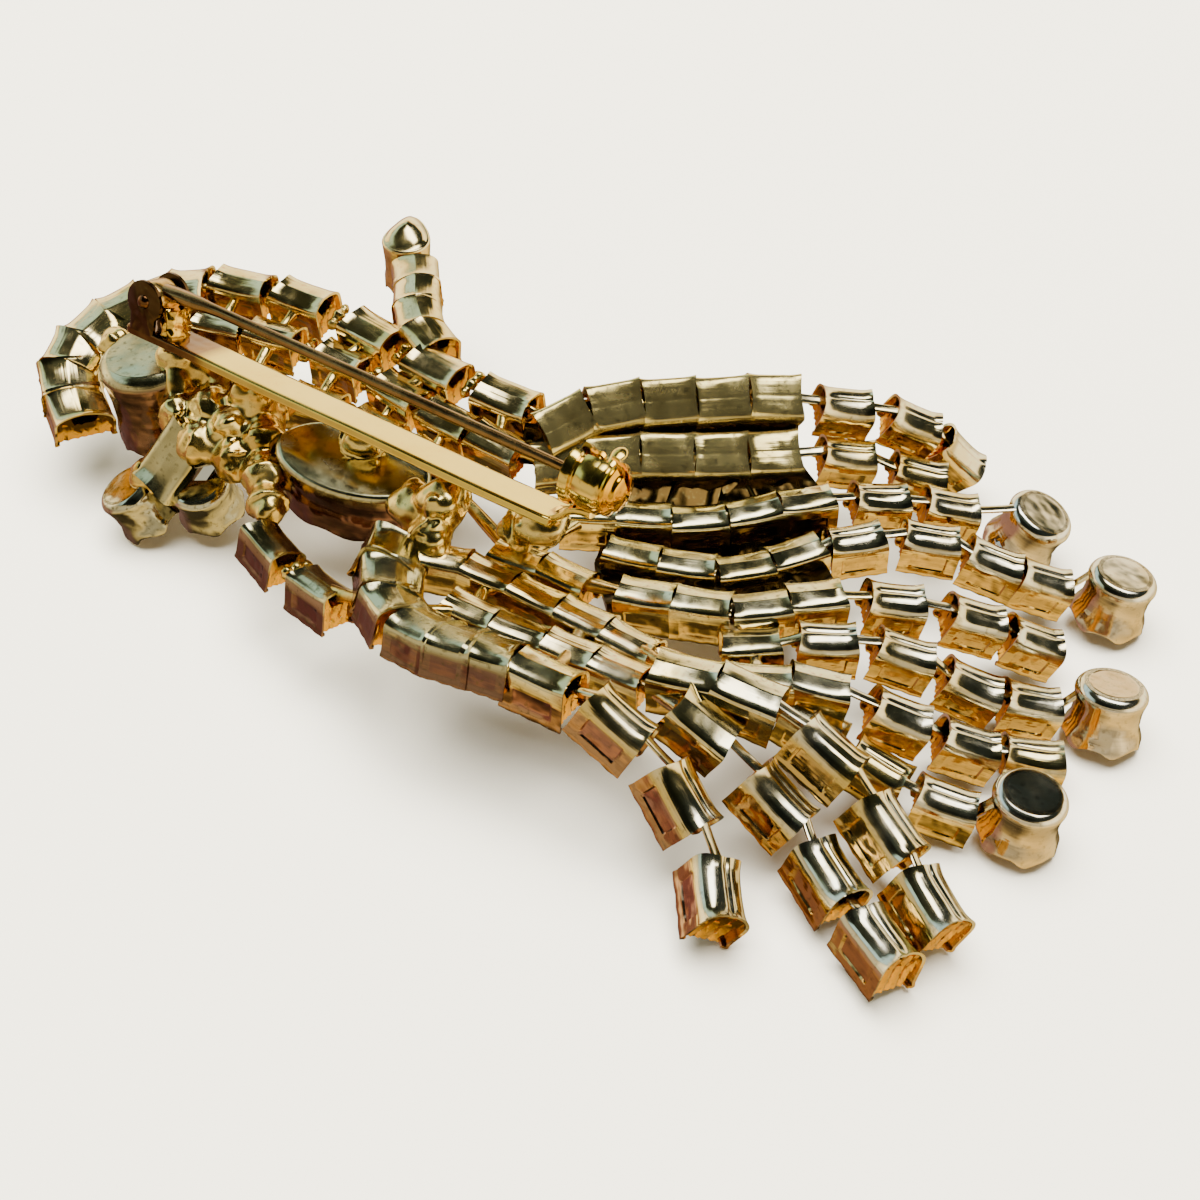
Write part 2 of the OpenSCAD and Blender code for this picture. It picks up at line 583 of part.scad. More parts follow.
module catch_sleeve() {
    color(gold) centred()
        fastener() translate([catch_x, 0, pin_h]) {
            difference() {
                rotate([0, 90, 0]) cylinder(r = sleeve_r, h = sleeve_l, center = true);
                rotate([0, 90, 0]) cylinder(r = sleeve_bore, h = 5, center = true);
                translate([-3, -0.6, 0]) cube([6, 1.2, 3]);
            }
            rotate([-tab_angle, 0, 0]) {
                translate([0, 0, 1]) cylinder(r = 0.42, h = 1.9);
                translate([0, 0, 3]) sphere(r = 0.6);
            }
        }
}

module soldered_frame() {
    color(gold) centred()
        difference() {
            union() {
                soldered_blocks();
                for (k = ties)
                    tie(all_seats[k[0]][k[1]], all_seats[k[2]][k[3]]);
                for (k = webs)
                    web(all_seats[k[0]][k[1]], all_seats[k[2]][k[3]], k[4]);
                left_cluster_blocks();
                for (i = [0:len(beads) - 1])
                    translate(beads[i][0]) rotate([0, 0, 50 * i]) solder_bead(beads[i][1]);
                fastener() bar_and_ears();
            }
            soldered_pockets();
            left_cluster_pockets();
        }
}

module strand(i) {
    row = tail[i - 1];
    all = all_seats[i - 1];
    k = row[SIZE];
    color(gold) centred() {
        for (j = [row[SOLDERED]:len(all) - 1])
            on_seat(all[j]) scale(k) loose_cup(row[LONG], row[WIDE]);
        for (j = [row[SOLDERED]:len(all) - 1])
            strip_link(all[j - 1], all[j], row[LONG], k);
        for (d = drops)
            if (d[DROP_STRAND] == i)
                let (a = drop_from(d), u = drop_side(d))
                    strip(a, d[DROP_SEAT] + u * drop_r - drop_up(d), drop_up(d), 1, 0.8, 0.7);
    }
}

module strand_stones(i) {
    row = tail[i - 1];
    color(crystal) centred()
        for (j = [row[SOLDERED]:len(row[GAPS]) - 1])
            on_seat(all_seats[i - 1][j]) scale(row[SIZE]) baguette(row[LONG], row[WIDE]);
}

// Round end cup: the way out of its back, the mouth its strip comes from, and the side it enters
function drop_up(d) = [sin(d[DROP_LEAN]) * cos(d[DROP_HEADING]),
    sin(d[DROP_LEAN]) * sin(d[DROP_HEADING]), cos(d[DROP_LEAN])];

function drop_from(d) = let (all = all_seats[d[DROP_STRAND] - 1])
    mouth(all[len(all) - 1], 1, 1, cup_l);

function drop_side(d) = let (v = drop_from(d) - d[DROP_SEAT], n = drop_up(d)) unit(v - (v * n) * n);

module drop_cup(i) {
    d = drops[i - 1];
    color(gold) centred()
        difference() {
            on_seat([d[DROP_SEAT], drop_side(d), drop_up(d)]) round_cup_block(drop_r, drop_d);
            on_seat([d[DROP_SEAT], drop_side(d), drop_up(d)]) round_cup_pocket(drop_r, drop_d);
            on_seat([d[DROP_SEAT], drop_side(d), drop_up(d)])
                translate([drop_r - 0.1, 0, -1.1]) cube([1.8, 1.7, 1.5], center = true);
        }
}

module drop_stone(i) {
    d = drops[i - 1];
    color(crystal) centred()
        on_seat([d[DROP_SEAT], drop_side(d), drop_up(d)])
            translate([0, 0, -drop_d - 0.1]) brilliant(drop_r - 0.5);
}

module tail_stones() color(crystal) centred() row_stones(0, 10);

module inner_stones() color(crystal) centred() row_stones(11, 13);

module rim_stones() color(crystal) centred() row_stones(14, 15);

module upper_stones() color(crystal) centred() row_stones(16, 18);

module curl_stones() color(crystal) centred() row_stones(19, 20);

module round_stone()
    color(crystal) centred() at_big() translate([0, 0, -round_d - 0.3]) brilliant(round_r - 0.5, 12);

module left_stone()
    color(crystal) centred() at_left() translate([0, 0, -small_d - 0.1]) brilliant(small_r - 0.5);

module right_stone()
    color(crystal) centred() at_right() translate([0, 0, -small_d - 0.1]) brilliant(small_r - 0.5);

module box_stone() color(crystal) centred() on_seat(box_seat) scale(1.3) baguette(cup_l, cup_w);

// Oval and pear stones: a table and a faceted pavilion from the girdle's outline
module cut_stone(girdle, depth) {
    n = len(girdle);
    points = concat(
        [for (p = girdle) [0.6 * p[0], 0.6 * p[1], 0]],
        [for (p = girdle) [p[0], p[1], 0.7]],
        [for (p = girdle) [0.25 * p[0], 0.25 * p[1], depth]]);
    faces = concat([[for (k = [0:n - 1]) k]],
        [for (ring = [0, 1], k = [0:n - 1])
            [ring * n + k, ring * n + n + k, ring * n + n + (k + 1) % n, ring * n + (k + 1) % n]],
        [[for (k = [n - 1:-1:0]) 2 * n + k]]);
    polyhedron(points = points, faces = faces);
}

module oval_stone()
    color(crystal) centred() at_oval() translate([0, 0, -oval_d - 0.3])
        cut_stone(oval(oval_a - 0.5, oval_b - 0.5, 12), 3.4);

module pear_stone()
    color(crystal) centred() at_pear() translate([0, 0, -pear_d - 0.3])
        cut_stone(pear(pear_r - 0.45, pear_l - 0.78, 10), 2.6);

soldered_frame();
hinge_rivet();
pin_stem();
catch_sleeve();
tail_stones();
upper_stones();
rim_stones();
inner_stones();
curl_stones();
round_stone();
oval_stone();
pear_stone();
box_stone();
left_stone();
right_stone();
for (i = [1:11]) strand(i);
for (i = [1:11]) strand_stones(i);
for (i = [1:4]) drop_cup(i);
for (i = [1:4]) drop_stone(i);
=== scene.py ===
"""Rhinestone spray brooch lying on its stones, with its gilt back and pin fastener up.

Sizes are in millimetres, and Skin.make turns them to metres. Points are worked out in the frame of
the route tables, and TO_MIDDLE brings them to the part's own frame. The CAD stones stay, in a
crystal finish, and every other CAD node is drawn anew here.
"""

import logging
import math
from dataclasses import dataclass, field, replace
from enum import Enum
from functools import reduce

import bmesh
import bpy
import numpy as np
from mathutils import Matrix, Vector


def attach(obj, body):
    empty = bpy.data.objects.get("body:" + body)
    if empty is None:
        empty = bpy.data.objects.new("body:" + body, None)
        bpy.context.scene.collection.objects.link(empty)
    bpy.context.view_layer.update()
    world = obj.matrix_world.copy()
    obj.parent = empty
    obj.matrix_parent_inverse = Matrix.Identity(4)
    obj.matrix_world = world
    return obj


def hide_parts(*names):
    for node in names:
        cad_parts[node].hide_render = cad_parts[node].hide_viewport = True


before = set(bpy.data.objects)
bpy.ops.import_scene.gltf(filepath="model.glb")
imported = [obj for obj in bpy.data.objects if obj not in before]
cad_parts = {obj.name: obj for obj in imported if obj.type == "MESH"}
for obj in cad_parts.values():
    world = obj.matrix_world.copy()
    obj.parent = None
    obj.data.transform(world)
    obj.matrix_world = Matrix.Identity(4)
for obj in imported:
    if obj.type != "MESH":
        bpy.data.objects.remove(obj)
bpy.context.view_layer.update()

log = logging.getLogger("brooch")

# A millimetre in metres
MM = 0.001
# From the frame of the route tables to the middle of the part's footprint
TO_MIDDLE = np.array([1.42, -1.28, 0.0])
# Depth of a baguette cup from its back to its rim
CUP_DEPTH = 3.2
# How far a strip link goes on into each mouth
STRIP_REACH = 0.6
DOWN = np.array([0.0, 0.0, -1.0])


class Body(Enum):
    """The bodies that a piece can ride on."""

    BROOCH = "body"
    STEM = "stem"
    SLEEVE = "sleeve"


# Numbers and curves


def unit(v: np.ndarray) -> np.ndarray:
    """The vectors of an array, each scaled to length one."""
    return v / np.linalg.norm(v, axis=-1, keepdims=True)


def ease(x: np.ndarray, low: float, high: float) -> np.ndarray:
    """Smooth step: 0 below low, 1 above high, and 3t^2 - 2t^3 between them.

    Args:
        x: the values.
        low: where the step starts.
        high: where it ends.

    Returns:
        The step at each value.
    """
    t = np.clip((np.asarray(x, float) - low) / (high - low), 0.0, 1.0)
    return t * t * (3 - 2 * t)


def window(x: np.ndarray, low: float, high: float, soft: float) -> np.ndarray:
    """1 between low and high, falling smoothly to 0 within soft outside them."""
    return ease(x, low - soft, low) * (1 - ease(x, high, high + soft))


def smooth_route(points: tuple, steps: int = 8) -> np.ndarray:
    """Catmull-Rom curve through the route points, as steps points for each span.

    Args:
        points: the route's points.
        steps: how many points each span gets.

    Returns:
        The curve's points, one a row.
    """
    p = np.asarray(points, float)
    i = np.arange(len(p) - 1)
    a, b = p[np.maximum(i - 1, 0)][:, None], p[i][:, None]
    c, d = p[i + 1][:, None], p[np.minimum(i + 2, len(p) - 1)][:, None]
    u = (np.arange(steps) / steps)[None, :, None]
    square, cube = 2 * a - 5 * b + 4 * c - d, 3 * b - a - 3 * c + d
    q = 0.5 * (2 * b + (c - a) * u + square * u**2 + cube * u**3)
    return np.concatenate([q.reshape(-1, 3), p[-1:]])


def cut_corners(line: np.ndarray, rounds: int = 2) -> np.ndarray:
    """Rounds an open line by cutting each corner at a quarter and three quarters of its sides."""
    for _ in range(rounds):
        a, b = line[:-1], line[1:]
        middle = np.stack([0.75 * a + 0.25 * b, 0.25 * a + 0.75 * b], 1)
        middle = middle.reshape(-1, line.shape[1])
        line = np.concatenate([line[:1], middle, line[-1:]])
    return line


def ring(count: int, start: float = 0.0) -> np.ndarray:
    """Angles of count even steps round a circle, in radians."""
    return start + 2 * math.pi * np.arange(count) / count


def squarish(angle: np.ndarray, power: float) -> np.ndarray:
    """How far a rounded square with that superellipse power reaches past a circle, at each angle."""
    return (np.abs(np.cos(angle)) ** power + np.abs(np.sin(angle)) ** power) ** (-1 / power)


def grid(*columns: float | np.ndarray) -> np.ndarray:
    """Points from their coordinates, each spread to the shape that they share."""
    return np.stack(np.broadcast_arrays(*columns), -1)


def distances(line: np.ndarray) -> np.ndarray:
    """Distance along a line to each of its points."""
    return np.concatenate([[0], np.cumsum(np.linalg.norm(np.diff(line, axis=0), axis=1))])


@dataclass(frozen=True)
class Seat:
    """Where something sits: its spot, the way its length runs, and the way its back faces."""

    spot: np.ndarray
    along: np.ndarray
    out: np.ndarray

    def place(self, points: np.ndarray) -> np.ndarray:
        """Carries points from the seat's own frame: X along, Y across, Z out of the back."""
        turn = np.stack([self.along, np.cross(self.out, self.along), self.out])
        return points @ turn + self.spot

    def turned(self, roll: float, yaw: float) -> "Seat":
        """The seat rolled about its length and turned about its back, in radians."""
        side = np.cross(self.out, self.along)
        out = unit(self.out * math.cos(roll) - side * math.sin(roll))
        side = np.cross(out, self.along)
        along = unit(self.along * math.cos(yaw) + side * math.sin(yaw))
        return Seat(self.spot, along, out)


def seat_facing(spot: tuple, along: np.ndarray, facing: np.ndarray) -> Seat:
    """A seat with its length along a line, and its back as near to facing as that allows."""
    t = unit(np.asarray(along, float))
    return Seat(np.asarray(spot, float), t, unit(facing - (t @ facing) * t))


def leaning_seat(
    spot: tuple, heading: float, lean: float, along: np.ndarray | list | None = None
) -> Seat:
    """A seat whose back leans by lean degrees towards heading.

    Args:
        spot: the middle of the back.
        heading: the compass angle of the lean, from +X.
        lean: the angle from the vertical.
        along: the wished length direction, or None for the heading's own.

    Returns:
        The seat.
    """
    h, a = math.radians(heading), math.radians(lean)
    out = np.array([math.sin(a) * math.cos(h), math.sin(a) * math.sin(h), math.cos(a)])
    wish = np.asarray([math.cos(h), math.sin(h), 0.0] if along is None else along, float)
    return Seat(np.asarray(spot, float), unit(wish - (wish @ out) * out), out)


# Materials


Colour = tuple[float, float, float, float]
Material, Tree, Socket = bpy.types.Material, bpy.types.NodeTree, bpy.types.NodeSocket


def linear(code: str) -> Colour:
    """An sRGB hex colour as linear RGBA."""
    c = np.array([int(code[i : i + 2], 16) for i in (1, 3, 5)]) / 255
    c = np.where(c <= 0.04045, c / 12.92, ((c + 0.055) / 1.055) ** 2.4)
    return (float(c[0]), float(c[1]), float(c[2]), 1.0)


def per_mm(size: float) -> float:
    """Texture scale, in cycles a metre, of a pattern whose features are size millimetres apart."""
    return 1000.0 / size


def add_node(tree: Tree, kind: str, inputs: dict | None = None, **settings: str) -> bpy.types.Node:
    """Adds a node with its settings, its constants and its links.

    Args:
        tree: the node tree.
        kind: the node's type name.
        inputs: for each input, by name or number, a constant or the output that feeds it.
        **settings: the node's own properties.

    Returns:
        The node.
    """
    node = tree.nodes.new(kind)
    for name, value in settings.items():
        setattr(node, name, value)
    feed(tree, node, inputs or {})
    return node


def feed(tree: Tree, node: bpy.types.Node, inputs: dict) -> None:
    """Gives a node's inputs their constants, or links to the outputs that feed them.

    Args:
        tree: the node tree.
        node: the node.
        inputs: for each input, by name or number, a constant or the output that feeds it.
    """
    for key, value in inputs.items():
        if isinstance(value, Socket):
            tree.links.new(value, node.inputs[key])
        else:
            node.inputs[key].default_value = value


def maths(tree: Tree, operation: str, *values: float | Socket) -> Socket:
    """The output of a Math node that works on the values."""
    node = add_node(tree, "ShaderNodeMath", dict(enumerate(values)), operation=operation)
    return node.outputs["Value"]


def noise(tree: Tree, place: Socket, size: float, detail: float) -> Socket:
    """Noise at a place, its features size millimetres apart."""
    inputs = {"Vector": place, "Scale": per_mm(size), "Detail": detail}
    return add_node(tree, "ShaderNodeTexNoise", inputs).outputs["Fac"]


def ranged(
    tree: Tree, value: Socket, source: tuple[float, float], target: tuple[float, float] = (0.0, 1.0)
) -> Socket:
    """Carries a value from one range to another, and holds it at the second's ends.

    Args:
        tree: the node tree.
        value: the output that gives the value.
        source: the start and end of the value's range.
        target: what it becomes at each.

    Returns:
        The output that gives the carried value.
    """
    inputs = {"Value": value, "From Min": source[0], "From Max": source[1],
              "To Min": target[0], "To Max": target[1]}
    return add_node(tree, "ShaderNodeMapRange", inputs).outputs["Result"]


def mixed(tree: Tree, share: Socket, first: Socket | Colour, second: Colour) -> Socket:
    """The output that mixes a share of the second colour into the first."""
    colours = {0: share, 6: first, 7: second}
    return add_node(tree, "ShaderNodeMix", colours, data_type="RGBA").outputs[2]


def new_material(name: str) -> tuple[Material, Tree, bpy.types.Node]:
    """A new material, its node tree and its shader."""
    mat = bpy.data.materials.new(name)
    mat.use_nodes = True
    return mat, mat.node_tree, mat.node_tree.nodes["Principled BSDF"]


def ramp(tree: Tree, value: Socket, stops: list[tuple[float, Colour]]) -> Socket:
    """The colour of a ramp at a value, from its stops, each a position and a linear colour."""
    node = add_node(tree, "ShaderNodeValToRGB", {"Fac": value})
    elements = node.color_ramp.elements
    while len(elements) < len(stops):
        elements.new(0.5)
    for element, (position, colour) in zip(elements, stops):
        element.position = position
        element.color = colour
    return node.outputs["Color"]


@dataclass(frozen=True)
class GiltFinish:
    """Thin gold plate on pressed brass, dipped bright: a pale mirror with small waves.

    The plate deepens in patches and tarnish sits in specks. Light is painted into the colour over that:
    the silvered colour is a painted reflection of a pale sky towards the tail's end, the wall colour and
    the brown are a painted reflection of a brown ground on the walls, the brown is also painted shade
    near the hinge, and the fold colour is a painted amber reflection of gold on gold in folds and
    insides.
    The tint's red says how far a place takes the wall colour (to a half) or the brown (past it), and its
    green how far it takes the fold colour.
    """

    name: str = "gilt_pressed_brass"
    plate: str = "#F1DBA0"
    # Painted reflection of a pale sky, laid over the plate towards the tail's end
    silvered: str = "#E2D8BA"
    deep: str = "#DABE6E"
    # Painted reflection of a brown ground, on the walls
    wall: str = "#E0BE64"
    # Painted reflection of a brown ground on the lower walls, and painted shade near the hinge
    brown: str = "#A0705C"
    # Painted amber reflection of gold on gold, in folds and insides
    fold: str = "#E0A52C"
    tarnish: str = "#5C5430"
    rough: tuple[float, float] = (0.08, 0.26)
    # Strength of the drawn lines and of the dents, and how much more the walls are dented
    grain: float = 0.25
    waves: float = 0.4
    dented: float = 5.0
    # How strongly the tarnish specks show
    spots: float = 0.35
    metallic: float = 1.0
    # Where the painted sky reflection, the silvered colour, starts and is full, in mm along the brooch
    turning: tuple[float, float] = (2.0, 26.0)
    # Size in mm and detail of the deeper patches, the tarnish specks, the dull smears and the dents
    patches: tuple[float, float] = (5.0, 3.0)
    specks: tuple[float, float] = (0.45, 4.0)
    smears: tuple[float, float] = (2.2, 3.0)
    dents: tuple[float, float] = (1.5, 1.0)

    def material(self) -> Material:
        """Makes the material.

        Returns:
            The material, its colour from the tint attribute and noise on Object coordinates.
        """
        mat, tree, shader = new_material(self.name)
        place = add_node(tree, "ShaderNodeTexCoord").outputs["Object"]
        along = add_node(tree, "ShaderNodeSeparateXYZ", {"Vector": place}).outputs["X"]
        tint = add_node(tree, "ShaderNodeAttribute", attribute_name="tint").outputs["Color"]
        parts = add_node(tree, "ShaderNodeSeparateColor", {"Color": tint}).outputs
        colour: Socket | Colour = linear(self.plate)
        # Each layer over the last: what it follows, where it starts and is full, and its colour
        for value, span, code in (
            # Painted reflection: the plate whitens towards the tail's end as if it reflected a pale sky
            (along, (self.turning[0] * MM, self.turning[1] * MM), self.silvered),
            (noise(tree, place, *self.patches), (0.46, 0.72), self.deep),
            # Painted reflection: walls take the wall colour, as if they reflected a brown ground
            (parts["Red"], (0.05, 0.5), self.wall),
            # Painted reflection and shade: past a half the red browns the walls further, and the bar and
            # ears near the hinge
            (parts["Red"], (0.55, 1.0), self.brown),
            # Painted reflection: folds, end walls and insides take an amber reflection of gold on gold
            (parts["Green"], (0.1, 0.9), self.fold),
        ):
            colour = mixed(tree, ranged(tree, value, span), colour, linear(code))
        worn = ranged(tree, noise(tree, place, *self.specks), (0.56, 0.72), (0.0, self.spots))
        rough = ranged(tree, noise(tree, place, *self.smears), (0.35, 0.7), self.rough)
        flute = add_node(tree, "ShaderNodeAttribute", attribute_name="flute").outputs["Fac"]
        drawn = add_node(tree, "ShaderNodeTexNoise", {"W": flute, "Scale": 1.7, "Detail": 2.0},
                         noise_dimensions="1D").outputs["Fac"]
        lines = add_node(tree, "ShaderNodeBump",
                         {"Strength": self.grain, "Distance": 0.1 * MM, "Height": drawn})
        share = maths(tree, "MULTIPLY_ADD", parts["Red"], self.dented, 0.6)
        height = maths(tree, "MULTIPLY", noise(tree, place, *self.dents), share)
        bump = add_node(tree, "ShaderNodeBump",
                        {"Strength": self.waves, "Distance": 0.14 * MM, "Height": height,
                         "Normal": lines.outputs["Normal"]})
        feed(tree, shader, {
            "Base Color": mixed(tree, worn, colour, linear(self.tarnish)),
            "Metallic": self.metallic, "Roughness": rough, "Normal": bump.outputs["Normal"]})
        return mat


# The upper and left rows: the plate as it left the bath, bright, and the most reflective metal here
GILT = GiltFinish()
# The tail's first two rows: rubbed against cloth and never polished, so that the plate has gone dull and
# mottled. A thin film on it scatters a little light, which a mirror would not
SATIN = GiltFinish(
    name="satin_gilt_brass", plate="#D2BE7A", silvered="#CCB878", deep="#A08C52", spots=0.75,
    rough=(0.1, 0.3), grain=0.2, waves=0.6, metallic=0.95)
# The rest of the tail's fixed rows: the solder's heat has dulled the plate and speckled it
HEATED = GiltFinish(
    name="gilt_heated_brass", plate="#EEDFA8", silvered="#E2D8B2", deep="#D6BE76", spots=0.55,
    rough=(0.08, 0.24), grain=0.06, waves=0.35)
# The rim and the big cups: thin plate over brass, its plate darker as a painted reflection of the
# dark tent, and its walls reddest as a painted reflection of a brown ground
DARK_REFLECTION_GILT = GiltFinish(
    name="gilt_brass_painted_dark_reflection", plate="#C9C092", silvered="#C9C092", deep="#8E845A", wall="#94805A",
    brown="#74504A", spots=0.6, rough=(0.1, 0.3), grain=0.15, waves=0.3)
# The lumps of soft solder: tin alloy that froze as it ran, gilt with the rest, wavy and deep yellow
SOLDERED = GiltFinish(
    name="gilt_solder", plate="#EFD27C", deep="#CE9A34", wall="#8A6A28", brown="#5E4422", spots=0.5,
    rough=(0.12, 0.36), waves=1.0, grain=0.0)
# The solder between the rows: thin sheets deep in a gap, their dark brown a painted shade that stands
# for the gap's shade
SHADE_SOLDER = GiltFinish(
    name="solder_painted_shade", plate="#5E481C", silvered="#544420", deep="#241A0C", wall="#2E210F",
    brown="#1A110A", spots=0.4, rough=(0.08, 0.24), waves=0.5, dented=0.3, grain=0.0)
# The fastener's bar: rolled brass strip with thick plate, flat and evenly yellow, but for painted shade
# in brown near the hinge
ROLLED = GiltFinish(
    name="gilt_rolled_brass", plate="#F6D668", silvered="#F6D668", deep="#F0CC58", wall="#8A6436",
    brown="#5A3820", spots=0.1, rough=(0.08, 0.2), waves=0.12, grain=0.0)
# The catch, the ears and the tongue: stamped and turned brass, the yellowest, its ears painted dark
# brown as painted shade at the hinge, and its folds given a painted amber reflection
TURNED = GiltFinish(
    name="gilt_turned_brass", plate="#F2D068", silvered="#F2D068", deep="#DBA83A", wall="#5E4426",
    brown="#4A351E", fold="#E8A820", rough=(0.08, 0.2), waves=0.3, grain=0.0)
# The pin and its rivet: steel wire under thin plate that years of wear have browned
WIRE = GiltFinish(
    name="browned_gilt_steel", plate="#C4A064", silvered="#C4A064", deep="#8E6A3A", wall="#6A4628",
    brown="#4A2E1C", fold="#F0C04A", rough=(0.16, 0.3), waves=0.1, grain=0.0)
# The two small round cups: sheet that was squeezed over its stone, all dents, silvery and dark by turns
CRUMPLED = GiltFinish(
    name="crumpled_gilt_brass", plate="#D9D2B2", silvered="#D9D2B2", deep="#8A8260", wall="#8A8262",
    brown="#5E4A40", spots=0.8, rough=(0.08, 0.22), grain=0.1, waves=1.0, dented=4.0)
# The round end cups: bright plate whose deep-drawn walls show long soft dents
DRAWN = GiltFinish(
    name="gilt_drop_brass", plate="#E6D8AE", silvered="#EBE4D2", deep="#CDB884", wall="#C8AE86",
    brown="#A87E62", rough=(0.06, 0.2), waves=0.4, dented=3.0)


@dataclass(frozen=True)
class CrystalFinish:
    """Pressed lead glass with a silvered back: clear facets below, and a mirror on the pavilion."""

    name: str = "foiled_crystal"
    glass: str = "#F1F5F6"
    foil: str = "#C9CFD2"
    index: float = 1.55

    def material(self) -> Material:
        """Makes the material, foiled where the stone's facets face the back of the brooch."""
        mat, tree, shader = new_material(self.name)
        coords = add_node(tree, "ShaderNodeTexCoord").outputs
        facing = add_node(tree, "ShaderNodeSeparateXYZ", {"Vector": coords["Normal"]}).outputs["Z"]
        foiled = ranged(tree, facing, (0.05, 0.25))
        haze = noise(tree, coords["Object"], 1.2, 3.0)
        feed(tree, shader, {
            "Base Color": mixed(tree, foiled, linear(self.glass), linear(self.foil)),
            "Metallic": foiled, "Transmission Weight": maths(tree, "SUBTRACT", 1.0, foiled),
            "Roughness": ranged(tree, haze, (0.0, 1.0), (0.02, 0.1)), "IOR": self.index})
        return mat


@dataclass(frozen=True)
class FloorFinish:
    """Matt cream paper under the brooch, with no pattern that shows at this distance."""

    name: str = "matt_paper"
    colour: str = "#FDF5DE"

    def material(self) -> Material:
        """Makes the material."""
        mat, tree, shader = new_material(self.name)
        feed(tree, shader, {
            "Base Color": linear(self.colour), "Roughness": 1.0, "Specular IOR Level": 0.0})
        return mat


# Surfaces


# How far a place takes the wall colour or the brown, painted reflection or shade, and how far the fold
# colour's painted amber reflection, for a whole surface or each point
Tint = tuple[float, float] | np.ndarray


class Skin:
    """Collects surfaces in millimetres and makes them one mesh."""

    def __init__(self, name: str) -> None:
        """Starts an empty skin that will be the piece of that name."""
        self.name = name
        self._points: list[np.ndarray] = []
        self._tints: list[np.ndarray] = []
        self._flutes: list[np.ndarray] = []
        self._faces: list[np.ndarray] = []
        self._count = 0

    def _take(self, points: np.ndarray, tint: Tint, flute: float | np.ndarray = 0.0) -> int:
        """Keeps points with their tint and flute values, and returns the first one's number."""
        flat = points.reshape(-1, 3)
        first = self._count
        self._points.append(flat)
        shape = points.shape[:-1]
        self._tints.append(np.broadcast_to(np.asarray(tint, float), (*shape, 2)).reshape(-1, 2))
        self._flutes.append(np.broadcast_to(flute, shape).reshape(-1))
        self._count += len(flat)
        return first

    @staticmethod
    def _cells(index: np.ndarray) -> np.ndarray:
        """The four-sided faces of a grid of point numbers."""
        corners = index[:-1, :-1], index[1:, :-1], index[1:, 1:], index[:-1, 1:]
        return np.stack(corners, -1).reshape(-1, 4)

    def sheet(
        self, outer: np.ndarray, inner: np.ndarray, tint: Tint = (0.0, 0.0),
        flute: float | np.ndarray = 0.0
    ) -> None:
        """Adds a closed wall between two grids of the same shape, joined all round their borders.

        Args:
            outer: the outer grid's points.
            inner: the inner grid's points.
            tint: the tint of both, or of each point.
            flute: distance across the drawn lines.
        """
        a, b = outer.shape[:2]
        start = self._take(outer, tint, flute)
        self._take(inner, tint, flute)
        o = start + np.arange(a * b).reshape(a, b)
        i = o + a * b
        self._faces += [self._cells(o), self._cells(i)[:, ::-1]]
        for edge in (np.s_[0, :], np.s_[-1, :], np.s_[:, 0], np.s_[:, -1]):
            self._faces.append(self._cells(np.stack([o[edge], i[edge]])))

    def tube(
        self, rings: np.ndarray, tint: Tint = (0.0, 0.0), flute: float | np.ndarray = 0.0
    ) -> None:
        """Adds rings of points, joined one to the next and closed by a fan at each end.

        Args:
            rings: the points, ring by ring.
            tint: the tint of all, or of each point.
            flute: distance across the drawn lines.
        """
        a, b = rings.shape[:2]
        start = self._take(rings, tint, flute)
        index = start + np.arange(a * b).reshape(a, b)
        self._faces.append(self._cells(np.concatenate([index, index[:, :1]], 1)))
        tints = self._tints[-1].reshape(a, b, 2)
        for row in (0, -1):
            middle = self._take(rings[row].mean(0)[None], tints[row].mean(0))
            edge = index[row]
            self._faces.append(np.stack([edge, np.roll(edge, -1), np.full(b, middle)], 1))

    def loop(self, rings: np.ndarray, tint: Tint = (0.0, 0.0)) -> None:
        """Adds rings that close on themselves and on one another, such as an eye."""
        a, b = rings.shape[:2]
        start = self._take(rings, tint)
        index = start + np.arange(a * b).reshape(a, b)
        index = np.concatenate([index, index[:1]])
        self._faces.append(self._cells(np.concatenate([index, index[:, :1]], 1)))

    def make(
        self,
        material: Material,
        body: Body = Body.BROOCH,
        slot: str = "frame_gilt",
        stands_for: str = "soldered_frame",
        sharp: float = 42.0,
        fuse: float | None = None,
    ) -> None:
        """Args:
            material: its finish.
            body: what it rides on.
            slot: the record's material slot; it is not used.
            stands_for: the CAD node that it replaces.
            sharp: the angle, in degrees, past which an edge stays crisp.
            fuse: the voxel size in millimetres for a skin whose lumps flow into one, or None.
        """
        mesh = bpy.data.meshes.new(self.name)
        points = (np.concatenate(self._points) + TO_MIDDLE) * MM
        faces = [row for block in self._faces for row in block.tolist()]
        mesh.from_pydata(points, [], faces)
        self._turn_out(mesh)
        self._colour(mesh, np.concatenate(self._tints), np.concatenate(self._flutes))
        piece = bpy.data.objects.new(self.name, mesh)
        bpy.context.scene.collection.objects.link(piece)
        if fuse is not None:
            self._fuse(piece, fuse)
        piece.data.shade_smooth()
        if fuse is None:
            piece.data.set_sharp_from_angle(angle=math.radians(sharp))
        piece.data.materials.clear()
        piece.data.materials.append(material)
        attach(piece, body.value)
        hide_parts(stands_for)
        log.info("%s: %d faces on %s", self.name, len(piece.data.polygons), body.value)

    @staticmethod
    def _turn_out(mesh: bpy.types.Mesh) -> None:
        """Turns each closed surface's faces outwards."""
        work = bmesh.new()
        work.from_mesh(mesh)
        bmesh.ops.recalc_face_normals(work, faces=work.faces)
        work.to_mesh(mesh)
        work.free()

